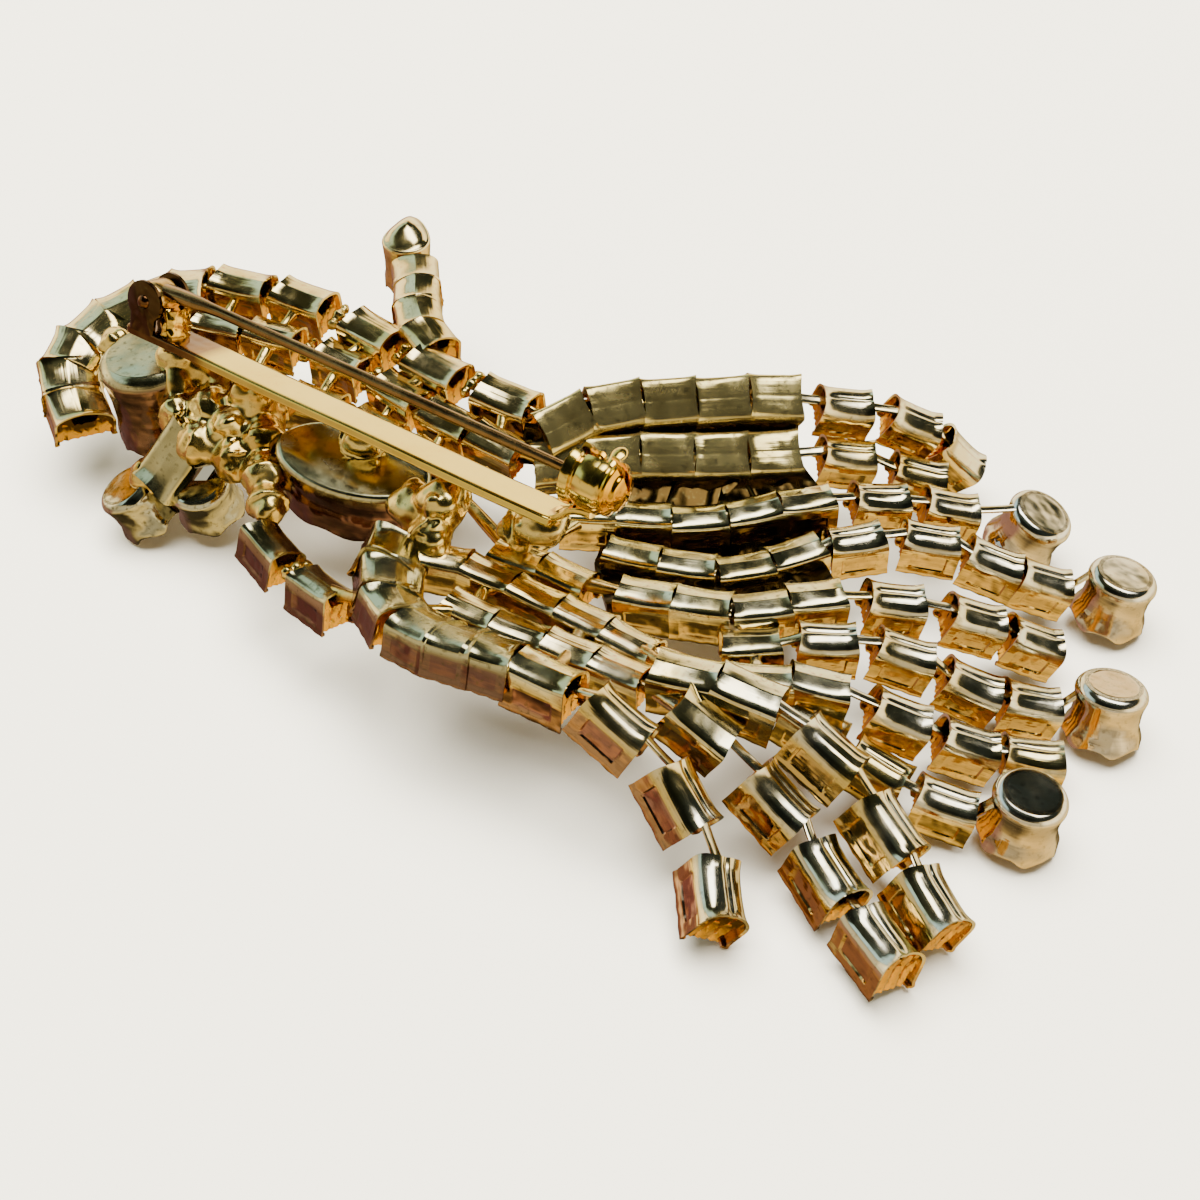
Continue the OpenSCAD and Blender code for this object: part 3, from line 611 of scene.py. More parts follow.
    @staticmethod
    def _colour(mesh: bpy.types.Mesh, tints: np.ndarray, flutes: np.ndarray) -> None:
        """Writes the tint and flute attributes."""
        rgba = np.ones((len(tints), 4), np.float32)
        rgba[:, :2] = tints
        tint = mesh.attributes.new("tint", "FLOAT_COLOR", "POINT")
        tint.data.foreach_set("color", rgba.ravel())
        flute = mesh.attributes.new("flute", "FLOAT", "POINT")
        flute.data.foreach_set("value", flutes.astype(np.float32))

    def _fuse(self, piece: bpy.types.Object, voxel: float) -> None:
        """Fuses the lumps by a voxel remesh, then smooths the result and clears its tint.

        Args:
            piece: the piece.
            voxel: the voxel size in millimetres.
        """
        remesh = piece.modifiers.new("flow", "REMESH")
        remesh.mode = "VOXEL"
        remesh.voxel_size = voxel * MM
        relax = piece.modifiers.new("relax", "SMOOTH")
        relax.factor, relax.iterations = 0.5, 6
        worked = piece.evaluated_get(bpy.context.evaluated_depsgraph_get())
        ready = bpy.data.meshes.new_from_object(worked)
        piece.modifiers.clear()
        piece.data = ready
        for name in ("tint", "flute"):
            old = ready.attributes.get(name)
            if old is not None:
                ready.attributes.remove(old)
        count = len(ready.vertices)
        self._colour(ready, np.zeros((count, 2)), np.zeros(count))


# Cups and links


@dataclass(frozen=True)
class PressedCup:
    """A baguette cup pressed from one sheet: a half-tube back over straight walls, its ends flared.

    Each wall has a sunk panel, where the die pressed the sheet against the stone.
    """

    # Along the row, across it, and the sheet's thickness
    long: float = 4.3
    wide: float = 3.2
    sheet: float = 0.2
    # Height of the rounded back over the straight walls, and the power of its superellipse
    shoulder: float = 1.3
    square: float = 2.5
    # How far the back turns up at its ends, dips between them, is cut along its middle, rises to it
    # from its sides, and slants across
    flare: float = 0.17
    dish: float = 0.08
    groove: float = 0.1
    ridge: float = 0.1
    slant: float = 0.0
    # Depth of the walls' sunk panels, and half the width of the strip's mouth
    recess: float = 0.12
    mouth: float = 0.8

    def crown(self, y: np.ndarray) -> np.ndarray:
        """Height of the back across it: a superellipse under a low ridge, all of it slanting."""
        across = np.clip(np.abs(y) * 2 / self.wide, 0, 1)
        curve = 1 - (1 - across**self.square) ** (1 / self.square)
        fall = (self.shoulder - self.ridge) * curve
        return -self.ridge * across - fall - self.slant * y * 2 / self.wide

    def outline(self) -> np.ndarray:
        """The cup's outside across its row, from rim to rim over the back, as (Y, Z) points.

        The back is the crown, with a V groove along its middle. The wall runs straight down, its
        points close together at the panel's edges, and turns out at the rim.
        """
        h = self.wide / 2
        y = h * np.array([0, 0.05, 0.1, 0.2, 0.32, 0.44, 0.56, 0.67, 0.77, 0.86, 0.925, 0.97, 0.993, 1])
        y = np.concatenate([-y[:0:-1], y])
        z = self.crown(y) - self.groove * np.exp(-((y / 0.14) ** 2))
        wall = np.array([
            [0, -1.38], [0, -1.48], [0, -1.7], [0, -2.1], [0, -2.5], [0, -2.72], [0, -2.82],
            [0.01, -2.92], [0.05, -3.06], [0.09, -3.22], [0.05, -3.36], [-0.07, -3.42], [-0.35, -3.42],
        ]) + [h, 0]
        slant = self.slant * np.clip((wall[:, 1:] + 3.3) / 2, 0, 1) * [0, 1]
        return np.concatenate([(wall * [-1, 1] + slant)[::-1], np.stack([y, z], 1), wall - slant])

    def shell(self, phase: float, tone: float) -> tuple[np.ndarray, np.ndarray, np.ndarray, np.ndarray]:
        """The sheet over the back and down both walls.

        The outline is carried along X. Towards each end the back lifts by flare, the corners run
        out past the middle, and between the ends it dips by dish.

        Args:
            phase: a number that varies one cup from the next.
            tone: how far the walls are painted browner, a painted reflection of a brown ground.

        Returns:
            The outer and inner grids, the tints and the flute distances.
        """
        line = self.outline()
        tangent = unit(np.gradient(line, axis=0))
        inward = np.stack([-tangent[:, 1], tangent[:, 0]], 1)
        inward *= np.sign((inward * (np.array([0, -1.6]) - line)).sum(1))[:, None]
        thin = line + inward * self.sheet
        half = np.array([0, 0.35, 0.62, 0.67, 0.74, 0.82, 0.9, 0.96, 1.0])
        u = np.concatenate([-half[:0:-1], half])[:, None]
        end = np.clip((np.abs(u) - 0.55) / 0.45, 0, 1) ** 2
        h = self.wide / 2
        panel = window(line[None, :, 1], -2.72, -1.48, 0.1) * window(u, -0.62, 0.62, 0.05)
        grids = []
        for section in (line, thin):
            y, z = section[None, :, 0], section[None, :, 1]
            back = ease(z, -1.4, -0.3)
            dip = self.dish * (1 - u**2) * back * (1 + 0.5 * np.sin(3 * phase))
            lift = self.flare * end * (back + 0.2 * (1 - back))
            wobble = 0.03 * np.sin(3.2 * u + 7 * phase) * np.cos(1.6 * y + 2 * phase)
            sunk = np.sign(y) * self.recess * panel * (1 + 0.3 * u * np.sin(9 * phase))
            claws = ease(-z, 3.0, 3.4) * (0.5 + 0.5 * np.cos(2 * math.pi * 1.5 * (u + 0.05 * phase)))
            grids.append(grid(
                u * self.long / 2 + np.sign(u) * end * (0.24 * (y / h) ** 2 - 0.12),
                y * (1 + 0.05 * end) - sunk,
                z + lift - dip + wobble * back - 0.1 * claws))
        # Painted reflection: the walls take the wall colour, and their lower part browns by the tone, as
        # a brown ground's reflection
        low = 1 - ease(line[None, :, 1], -1.5, -0.7)
        deep = (1 - ease(line[None, :, 1], -1.55, -1.35)) * (0.8 + 0.2 * panel)
        tint = grid(0.5 * low + 0.5 * tone * deep, 0.0)
        return grids[0], grids[1], tint, distances(line) + 10 * phase

    def end_wall(self, side: int, phase: float, mouth: float) -> tuple[np.ndarray, np.ndarray]:
        """A folded end wall: it hangs from the crown, open at the strip's mouth, and is crumpled.

        Args:
            side: 1 for the end that the row runs to, or -1.
            phase: a number that varies one wall from the next.
            mouth: half the mouth's width, or below zero for a wall with none.

        Returns:
            The outer and inner grids.
        """
        h = self.wide / 2 - 0.12
        y = np.linspace(-h, h, 17)[:, None]
        t = np.linspace(0, 1, 9)[None, :]
        shoulder = ease(np.abs(y), mouth, mouth + 0.25)
        top = -1.2 + (self.crown(y) - 0.12 + 1.2) * shoulder
        z = top + (-CUP_DEPTH - 0.1 - top) * t
        bulge = np.sin(math.pi * t)
        fold = 0.09 * np.sin(2 * math.pi * y / 0.9 + 5 * phase + 2.4 * t) * (0.3 + 0.7 * bulge)
        fold = fold + 0.06 * np.sin(2 * math.pi * y / 0.5 + 9 * t + 3 * phase)
        x = self.long / 2 - 0.26 + fold + 0.16 * (1 - t) ** 2 - 0.12 * bulge
        outer = grid(side * x, y, z)
        return outer, outer - np.array([side * 0.14, 0, 0])

    def add(
        self, skin: Skin, seat: Seat, size: float, phase: float, tone: float, last: bool = False
    ) -> None:
        """Adds the cup to a skin.

        Args:
            skin: the skin.
            seat: where the cup sits.
            size: its size factor.
            phase: a number that varies one cup from the next.
            tone: how far its walls are painted browner, a painted reflection of a brown ground.
            last: whether nothing follows it in its row, so that its far end is closed.
        """
        outer, inner, tint, flute = self.shell(phase, tone)
        skin.sheet(seat.place(outer * size), seat.place(inner * size), tint, flute)
        for side in (-1, 1):
            mouth = -1.0 if last and side > 0 else self.mouth
            outer, inner = self.end_wall(side, phase + side, mouth)
            # Painted reflection: the end walls take the fold colour, an amber reflection of gold on gold
            skin.sheet(seat.place(outer * size), seat.place(inner * size), (0.2, 1.0))
        # A plate inside, so that no mouth looks through to the stone; it takes the painted amber
        # reflection
        ends = np.array([-1, 1])
        flat = grid(ends[:, None] * (self.long / 2 - 0.3), ends * (self.wide / 2 - 0.15), -1.2)
        skin.sheet(seat.place(flat * size), seat.place((flat + DOWN * 0.2) * size), (0.2, 1.0))

    def mouth_at(self, seat: Seat, end: int, size: float) -> np.ndarray:
        """The middle of the strip's mouth at one end of the cup."""
        return seat.spot + seat.along * (end * self.long * size / 2) - seat.out * (0.75 * size)


def add_strip(skin: Skin, a: np.ndarray, b: np.ndarray, facing: np.ndarray) -> None:
    """Adds a flat strip from mouth a to mouth b, with a slight waist and rounded edges.

    Args:
        skin: the skin.
        a: where it starts.
        b: where it ends.
        facing: the way its flat side faces.
    """
    t = unit(b - a)
    seat = seat_facing(a - t * STRIP_REACH, t, facing)
    span = float(np.linalg.norm(b - a)) + 2 * STRIP_REACH
    s = np.array([0.0, 0.04, 0.2, 0.4, 0.6, 0.8, 0.96, 1.0])[:, None]
    angle = ring(14)
    arch, corner = np.sin(math.pi * s), squarish(angle, 5)
    wide = 0.5 * (0.95 - 0.16 * arch) * (0.9 + 0.1 * arch)
    y = wide * np.cos(angle) * corner
    z = 0.13 * np.sin(angle) * corner - 0.07 * arch
    skin.tube(seat.place(grid(s * span, y, z)))


class Outline(Enum):
    """Outlines of the cups that hold a single large stone."""

    ROUND = "round"
    OVAL = "oval"
    PEAR = "pear"


@dataclass(frozen=True)
class StoneCup:
    """A deep cup for one stone: flat back, rounded shoulder, waisted wall and a rim of claws.

    The waist, the ledge and the flare are shares of its radius, and say how far the wall draws in
    under the shoulder, steps out below that, and turns out at the rim. The dome is how far the
    back's middle rises, and the lean how far that top is shifted along the cup.
    """

    outline: Outline
    radius: float
    second: float
    depth: float
    shoulder: float
    claws: int = 6
    claw_size: float = 0.2
    waist: float = 0.03
    ledge: float = 0.0
    dome: float = 0.0
    lean: float = 0.0
    flare: float = 0.02
    # How far the wall is painted browner and the back's middle takes the wall's colour: painted
    # reflections
    tone: float = 0.4
    face: float = 0.0

    def edge(self, count: int = 56) -> np.ndarray:
        """The outline as (X, Y) points round the cup."""
        a = ring(count)
        if self.outline is Outline.PEAR:
            # A circle of the first radius, drawn out to a point at the second along +X
            pull = np.maximum(np.cos(a), 0) ** 3
            x = self.radius * np.cos(a) * (1 - pull) + self.second * pull
            return np.stack([x, self.radius * np.sin(a) * (1 - 0.25 * pull)], 1)
        second = self.radius if self.outline is Outline.ROUND else self.second
        return np.stack([self.radius * np.cos(a), second * np.sin(a)], 1)

    def add(self, skin: Skin, seat: Seat, phase: float = 0.0) -> None:
        """Adds the cup: its outside from the back's middle to the rim, then its inside.

        Each ring is the outline scaled about the cup's middle, at its own height. The rim is
        scalloped into claws, which bend in over the stone.

        Args:
            skin: the skin.
            seat: where the cup sits.
            phase: the angle by which its claws are turned.
        """
        edge = self.edge()
        reach = float(np.abs(edge).max(0).mean())
        s, d = self.shoulder / reach, self.depth
        turn = np.radians(np.linspace(90, 0, 9))
        outer = [[0.01, self.dome], [0.12, self.dome * 0.98], [0.35, self.dome * 0.84],
                 [0.62, self.dome * 0.52], [0.8, self.dome * 0.24], [0.97 - s, 0.0],
                 *zip(1 - s + s * np.cos(turn), -self.shoulder * (1 - np.sin(turn)))]
        outer += [[1 - 0.6 * self.waist, -0.3 * d], [1 - self.waist, -0.45 * d]]
        if self.ledge:
            outer += [[1 - self.waist, -0.56 * d], [1 + self.ledge - self.waist, -0.6 * d]]
        wide = 1 + self.ledge
        outer += [[wide - 0.8 * self.waist, -0.72 * d], [wide + 0.4 * self.flare, -0.86 * d],
                  [wide + self.flare, -0.97 * d], [wide + self.flare, -d - 0.02],
                  [wide + self.flare - 0.06, -d - 0.12]]
        inner = [[0.9, -d - 0.02], [0.9, -0.9 * d], [0.9, -0.2 * d - 0.4], [0.85, -0.6], [0.01, -0.6]]
        section = np.array(outer + inner)
        inside = np.arange(len(section)) >= len(outer)
        a = ring(len(edge))
        scale, z = section[:, :1], section[:, 1:]
        low = ease(-z, 0.86 * d, d) * (scale > 0.93)
        claw = (0.5 + 0.5 * np.cos(self.claws * a + phase)) ** 2
        ripple = 0.012 * np.sin(self.claws * 2 * a + phase) * ease(-z, 0.5 * d, d) * (scale > 0.93)
        plan = (scale + ripple)[..., None] * edge[None]
        plan = plan + np.array([self.lean, 0.0]) * ease(z, 0.0, max(self.dome, 0.1))[..., None]
        z = z - low * claw * self.claw_size + low * (1 - claw) * 0.25 * self.claw_size
        wall = self.tone * ease(-section[:, 1], 0.4 * self.shoulder, 0.6 * self.shoulder + 0.5)
        # The first rings are the back's middle
        wall[:4] = self.face
        # Painted reflection: the inside takes the fold colour, an amber reflection of gold on gold
        wall[inside] = 0.3
        tint = np.stack([wall, inside], -1)[:, None]
        run = distances(section * [reach, 1])
        skin.tube(seat.place(np.dstack([plan, z])), tint, (run * ease(wall, 0.0, 0.3))[:, None] * 0.6)


# Rows


@dataclass(frozen=True)
class Row:
    """A row of cups: its route, the roll of each back, and how many cups are soldered.

    The last roll holds for the cups after it. A gap is the room before each cup. The tone goes
    from 0, where the walls are bright gold, to 1, where they are painted brown, a painted reflection
    of a brown ground.
    """

    route: tuple
    rolls: tuple[float, ...]
    gaps: tuple[float, ...]
    soldered: int
    size: float = 1.0
    cup: PressedCup = field(default_factory=PressedCup)
    tone: float = 0.35

    def seats(self) -> list[Seat]:
        """Works out the seat of each cup from its distance along the route.

        Returns:
            The seats, in order along the row.
        """
        line = smooth_route(self.route)
        runs = distances(line)
        count = len(self.gaps)
        mids = (np.cumsum(self.gaps) + (np.arange(count) + 0.5) * self.cup.long) * self.size

        def spot(s: np.ndarray) -> np.ndarray:
            """Points at distances along the route."""
            return np.stack([np.interp(s, runs, line[:, k]) for k in range(3)], -1)

        reach = 0.35 * self.cup.long
        t = unit(spot(np.minimum(mids + reach, runs[-1])) - spot(np.maximum(mids - reach, 0)))
        up = unit(np.array([0, 0, 1.0]) - t[:, 2:] * t)
        side = np.cross(up, t)
        rolls = (*self.rolls, *[self.rolls[-1]] * count)[:count]
        roll = np.radians(np.array(rolls))[:, None]
        out = up * np.cos(roll) - side * np.sin(roll)
        return [Seat(p, a, n) for p, a, n in zip(spot(mids), t, out)]


# Cups that lie across their row, and the same closer and plainer. They space their rows
CROSS = PressedCup(long=2.9, wide=4.0, flare=0.22, dish=0.14, groove=0.0, recess=0.06, mouth=0.9)
CLOSE = PressedCup(long=2.9, wide=4.0, flare=0.06, dish=0.06, groove=0.0, recess=0.0, mouth=0.9)
# What is drawn for the soldered cups: most of them, those of the tail's first two rows, and those
# that CROSS and CLOSE space
FIXED = PressedCup(
    square=4.5, shoulder=1.25, flare=0.08, dish=0.06, groove=0.0, ridge=0.26, slant=0.2, recess=0.1)
WIDE = PressedCup(
    wide=3.8, square=5.0, shoulder=1.1, flare=0.1, dish=0.05, groove=0.02, ridge=0.0, recess=0.1)
BROAD = PressedCup(
    long=3.5, wide=4.9, square=3.0, flare=0.12, dish=0.08, groove=0.0, ridge=0.3, slant=0.25,
    recess=0.0, mouth=0.9)
SMOOTH = PressedCup(
    long=3.2, wide=3.9, square=2.3, flare=0.03, dish=0.02, groove=0.0, ridge=0.2, recess=0.0,
    mouth=0.9)
# The usual gap between loose cups, bridged by a strip link
G = 1.9

TAIL = (
    Row(((-4.8, 2.8, 11.7), (-1.7, 7.9, 12.6), (4.9, 13.4, 12.6), (8.3, 16.4, 12.4), (12.9, 20.8, 11.2),
         (18, 24.2, 9.4), (21.6, 26.4, 5.8), (22.8, 27, 4.2)), (40, 40, 38, 36, 34, 16, 12, 10),
        (0, 0, 0, 0, 0, G, G, 1.5), 5),
    Row(((-4.8, 1.3, 9.5), (-0.1, 5.5, 9.8), (7.1, 10.7, 9.8), (10.4, 13.6, 9.6), (14.6, 17.9, 8.8),
         (19.6, 20.8, 7.2), (21.6, 22, 6.6)), (36, 36, 35, 33, 30, 16, 12), (0, 0, 0, 0, 0, 2.2, G), 5),
    Row(((-0.9, -0.3, 8.6), (4.7, 2.9, 8.6), (8.9, 5.2, 8.6), (14.6, 11.1, 9), (19.1, 15.4, 8.4),
         (23.9, 18.9, 7.3), (26, 20.3, 6.4)), (2,), (0, 0, 0, 0, 0, 2.1, 1.6), 5),
    Row(((4.3, -1.7, 8.4), (10.6, 0.3, 8.4), (14, 2.2, 8.4), (16.8, 6.2, 8.4), (19.8, 9.9, 8.6),
         (24.5, 13.7, 8.2), (29.8, 15.7, 6.8), (33.4, 17.8, 5), (35.2, 19, 4.6)), (2,),
        (0, 0, 0, 0, 0.7, G, 1.1, 0.2), 4),
    Row(((8.1, -5.8, 9.4), (12.6, -4.4, 9.6), (17.4, -2.3, 9.8), (20.8, 1.3, 9.8), (25.8, 5.2, 9.2),
         (31.2, 9, 7.2), (35.4, 11.7, 4.8), (37, 12.8, 4)), (2,), (0, 0, 0, 0, 2, 2.5, 1), 4),
    Row(((17.2, -6, 9.2), (19, -4.9, 9.2), (23.7, -1.4, 9.4), (28.8, 1.9, 8.2), (34, 3.9, 5.8),
         (38, 6.4, 4.2), (39.8, 7.6, 3.8)), (0,), (0, 1.4, G, 1.5, 0.4), 1),
    Row(((19.9, -8.9, 9.6), (22.2, -7.6, 9.6), (25.4, -5.7, 9.4), (31.2, -3.3, 7.6), (35.6, -0.7, 5),
         (39.8, 1.7, 3.9), (41.6, 2.7, 3.8)), (0,), (0, 0, 2.2, 1.5, 0.4), 2),
    Row(((15.6, -12.6, 11.6), (18, -12, 11.6), (22.7, -10.9, 11.5), (29.2, -10, 9.3), (35.4, -11.7, 6.4),
         (40.4, -14.6, 4.9), (42.4, -15.9, 4.8)), (5, 5, -20, -25, -25), (0, 0, 2.1, 1.9, 1), 2, 1.12,
        tone=0.45),
    Row(((19.2, -14.9, 11.5), (21.2, -14.5, 10.8), (28.2, -14.2, 6.9), (33.2, -16.6, 5.1),
         (38.3, -19.2, 4.7), (40.4, -20.3, 4.7)), (8, -20, -18, -15), (0, 2.4, 1.3, 1), 1, 1.12,
        tone=0.6),
    Row(((7.7, -17.9, 12.4), (9.9, -18.1, 12.4), (16, -17.7, 12), (22.6, -18.4, 8.2), (27.4, -21.6, 5),
         (28.8, -23.6, 4.8)), (-5, -22, -26, -28), (0, 1.8, 2.2, 2), 1, 1.12, tone=1.0),
    Row(((24.2, -7.7, 7.8), (26, -7.4, 7.4), (32, -7.5, 6), (37, -6.3, 4.6), (38.8, -5.6, 4.4)),
        (0,), (0, 1.3, 1), 1, tone=0.2),
)
INNER = (
    Row(((-6, -12.2, 10.6), (-1.9, -10.8, 10.4), (6.2, -10.2, 10), (12, -10.2, 9.8), (20, -10, 9.6)),
        (0,), (0, 0, 0, 0, 0), 5, 0.95),
    Row(((-2, -7.6, 9.6), (3.1, -7, 9.6), (9, -6.8, 9.4)), (0,), (0, 0), 2, 0.95),
    Row(((-1, -14.8, 10.6), (3.5, -14.4, 10.4), (8, -13.8, 10.2), (17.5, -13, 10.4)),
        (0, 0, 4, 4), (0, 0, 0, 0), 4, 0.95),
)
RIM = (
    Row(((-6.6, -12.2, 11.4), (-5.9, -14.2, 11.8), (-4, -16.9, 12), (-1.6, -18.4, 12.2),
         (1.6, -18.6, 12.3), (5, -18, 12.4), (7.8, -17.5, 12.4), (9, -17.3, 12.4)),
        (-20,), (0, 0, 0, 0, 0, 0), 6, 1.0, CROSS, 0.9),
    Row(((-18.6, -15.4, 9.6), (-16.7, -16.2, 9.2), (-10.6, -17.8, 9.2), (-8, -18.2, 9.6)),
        (-12,), (0, 1.9), 2, tone=0.95),
)
UPPER = (
    Row(((-38.9, 3, 13.5), (-36.6, 3.6, 13.5), (-31.1, 5, 13.4), (-23.6, 4.9, 13.2), (-16.5, 4.2, 13),
         (-9.7, 4.5, 12.6), (-7, 4.7, 12.4)), (6, 8, 10, 12, 14), (0, 0.9, 2.5, 2.2, 1.9), 5, 1.1),
    Row(((-37.6, -1, 12.3), (-35.5, -0.6, 12.3), (-31, 0.9, 12.2), (-24.3, 1.7, 12), (-17.9, 1.1, 11.8),
         (-12.7, 0.6, 11.6), (-7.9, 0.8, 11.2), (-5.2, 0.8, 11)), (2, 4, 7, 9, 12, 14),
        (0, 0.5, 2.4, 2.1, 1, 0.4), 6),
    Row(((-34.4, -4.4, 11), (-28.6, -3.6, 11), (-22.4, -2.2, 10.6), (-16.8, -2.3, 10.6),
         (-10.6, -3, 10.4), (-8, -3.2, 10.4)), (2, 4, 6, 8), (2.4, 2, 1.6, 1.6), 4, tone=0.6),
)
CURL = (
    Row(((-39.4, 1.6, 13.2), (-41.5, 0.6, 12.8), (-43.6, -1.6, 12), (-45.2, -4.4, 11.2),
         (-45.5, -7.4, 10.4), (-44, -10.4, 9.6), (-41.2, -12.2, 8.6), (-39.4, -13.2, 8)),
        (0,), (0, 0, 0, 0, 0, 0, 0), 7, 1.0, CROSS, 0.5),
)
CREST = (
    Row(((-17.6, 6.2, 13.4), (-20.2, 7.4, 13.8), (-22.6, 9.6, 14), (-24.6, 12.2, 14), (-26.2, 14, 13.9)),
        (0,), (0, 0, 0, 0), 4, 1.0, CLOSE, 0.5),
)
ALL_ROWS = (*TAIL, *INNER, *RIM, *UPPER, *CURL, *CREST)

# Solder ties between two cups of two rows: row, cup, row, cup
TIES = (
    (4, 1, 5, 0), (5, 0, 6, 0), (6, 1, 10, 0),
    (6, 0, 11, 4), (11, 4, 7, 0), (7, 0, 8, 0), (8, 0, 13, 3), (9, 0, 13, 2), (14, 0, 11, 0),
    (14, 2, 13, 0), (11, 1, 13, 0), (11, 3, 13, 2), (12, 0, 11, 1), (12, 1, 11, 3), (12, 1, 4, 0),
    (12, 0, 2, 0), (16, 4, 0, 0), (17, 5, 1, 0), (18, 3, 12, 0), (16, 1, 17, 1), (16, 2, 17, 2),
    (16, 3, 17, 3), (16, 4, 17, 5), (17, 1, 18, 0), (17, 2, 18, 1), (17, 3, 18, 2), (17, 4, 18, 3),
    (16, 0, 19, 0), (16, 0, 17, 0), (20, 0, 16, 3), (15, 1, 14, 2),
)
# Sheets of solder between two cups side by side, set deep and dark as painted shade: row, cup, row, cup,
# depth under their backs
WEBS = (
    *((0, i, 1, i, 1.0) for i in range(5)),
    *((1, i + 1, 2, i, 1.2) for i in range(4)), (1, 4, 2, 4, 1.2),
    *((2, i + 1, 3, i, 2.0) for i in range(4)),
    *((3, i, 4, i, 1.0) for i in range(4)),
)
# Solder beads: middle and radius
BEADS = (
    ((-34.2, -6.9, 13), 1.6), ((-29.4, -8.8, 10.8), 1.7), ((-26.4, -9.2, 10.6), 1.8),
    ((-26, -7, 12.4), 1.8), ((-23.6, -9, 10.4), 1.7), ((-28.4, -11.6, 9.4), 1.6),
    ((-24.8, -11.2, 9.2), 1.6), ((-32, -9.8, 9.8), 1.7), ((-21.6, -11.6, 9.4), 1.6),
    ((-19.4, -13.8, 9), 1.4), ((-30, -6, 11), 1.6), ((-26, -5.2, 10.4), 1.5), ((-41.6, -6.6, 10.6), 1.5),
    ((-32.6, -13.8, 5.8), 1.4), ((-15, -7, 13.1), 1.3), ((-17, -4.4, 10.4), 1.4),
    ((-8.6, -9, 10.8), 1.9), ((-6, -8.6, 12.4), 1.9), ((-5.6, -10.8, 10.6), 1.5),
    ((1.6, -6.4, 12.4), 1.8), ((-0.4, -6.8, 11), 1.4), ((-26.8, 14.2, 12), 1.4),
)
# Round end cups: their radius, then for each its spot, the heading and lean of its back where its
# strip meets it, and the number of its strand
DROP_RADIUS = 2.75
DROPS = (((29.8, 23.2, 5.6), 40, 30, 3), ((38, 20.5, 5.4), 60, 12, 4),
         ((42, 9.4, 5.1), 124, 6, 6), ((41.6, -3.6, 5.4), -40, 14, 11))


@dataclass
class CupRows:
    """The soldered rows, one piece for each group of rows."""

    groups: tuple = (
        ("satin_rows", TAIL[:2]), ("tail_rows", TAIL[2:]), ("inner_rows", INNER), ("rim_rows", RIM),
        ("upper_rows", UPPER), ("curl_row", CURL), ("crest_row", CREST))
    # How far the cups' rolls stray, in radians
    jitter: float = 0.035

    def build(self, gilt: Material, satin: Material, heated: Material, dark: Material) -> None:
        """Builds the cups of each group, each with its own slight turn.

        Args:
            gilt: the finish of the bright rows.
            satin: the finish of the tail's first two rows, whose backs are dull.
            heated: the finish of the tail's other rows, which the solder's heat dulled.
            dark: the finish of the rim's rows, darker by painted reflection.
        """
        finishes = {"satin_rows": satin, "tail_rows": heated, "rim_rows": dark}
        rng = np.random.default_rng(7)
        for name, rows in self.groups:
            skin = Skin(name)
            for row in rows:
                plain = WIDE if name == "satin_rows" else FIXED
                cup = {CROSS: BROAD, CLOSE: SMOOTH}.get(row.cup, plain)
                for seat in row.seats()[: row.soldered]:
                    roll, yaw = rng.normal(0, self.jitter, 2)
                    seat = seat.turned(roll, 0.6 * yaw)
                    cup.add(skin, seat, row.size, rng.random(), row.tone)
            skin.make(finishes.get(name, gilt))


@dataclass
class Strands:
    """The loose cups and strip links at the free ends of the tail's strands."""

    # How far the cups' rolls stray, in radians
    jitter: float = 0.03

    def build(self, gilt: Material) -> None:
        """Builds one piece for each strand.

        Args:
            gilt: its finish.
        """
        rng = np.random.default_rng(11)
        for number, row in enumerate(TAIL, 1):
            seats = row.seats()
            skin = Skin(f"tail_strand_{number}")
            for j in range(row.soldered, len(seats)):
                roll, yaw = rng.normal(0, self.jitter, 2)
                last = j == len(seats) - 1 and all(number != drop[3] for drop in DROPS)
                seat = seats[j].turned(roll, 0.4 * yaw)
                row.cup.add(skin, seat, row.size, rng.random(), row.tone, last)
                a = row.cup.mouth_at(seats[j - 1], 1, row.size)
                b = row.cup.mouth_at(seats[j], -1, row.size)
                add_strip(skin, a, b, seats[j - 1].out + seats[j].out)
            for spot, heading, lean, strand in DROPS:
                if strand == number:
                    a = row.cup.mouth_at(seats[-1], 1, 1.0)
                    drop = drop_seat(a, spot, heading, lean)
                    add_strip(skin, a, drop.spot + drop.along * DROP_RADIUS - drop.out, drop.out)
            skin.make(gilt, slot="strand_gilt", stands_for=f"strand_{number}")


def drop_seat(start: np.ndarray, spot: tuple, heading: float, lean: float) -> Seat:
    """The seat of a round end cup, its length towards the mouth that its strip comes from."""
    return leaning_seat(spot, heading, lean, start - np.asarray(spot, float))


@dataclass
class DropCups:
    """The four round end cups."""

    cup: StoneCup = field(default_factory=lambda: StoneCup(
        Outline.ROUND, DROP_RADIUS, DROP_RADIUS, 4.35, 0.8, claw_size=0.4, waist=0.07, flare=0.1,
        tone=0.3))
    # How each drop is drawn: heading and lean of its back, and how far the back takes the wall's tan
    # colour, a painted reflection
    poses: tuple = ((22, 22, 0.1), (60, 12, 0.1), (100, 15, 0.5), (57, 8, 0.0))

    def build(self, gilt: Material) -> None:
        """Builds one piece for each end cup.

        Args:
            gilt: its finish.
        """
        for number, (spot, _, _, strand) in enumerate(DROPS, 1):
            row = TAIL[strand - 1]
            heading, lean, face = self.poses[number - 1]
            seat = drop_seat(row.cup.mouth_at(row.seats()[-1], 1, 1.0), spot, heading, lean)
            skin = Skin(f"end_cup_{number}")
            replace(self.cup, face=face).add(skin, seat, 0.7 * number)
            skin.make(gilt, slot="drop_gilt", stands_for=f"drop_cup_{number}")


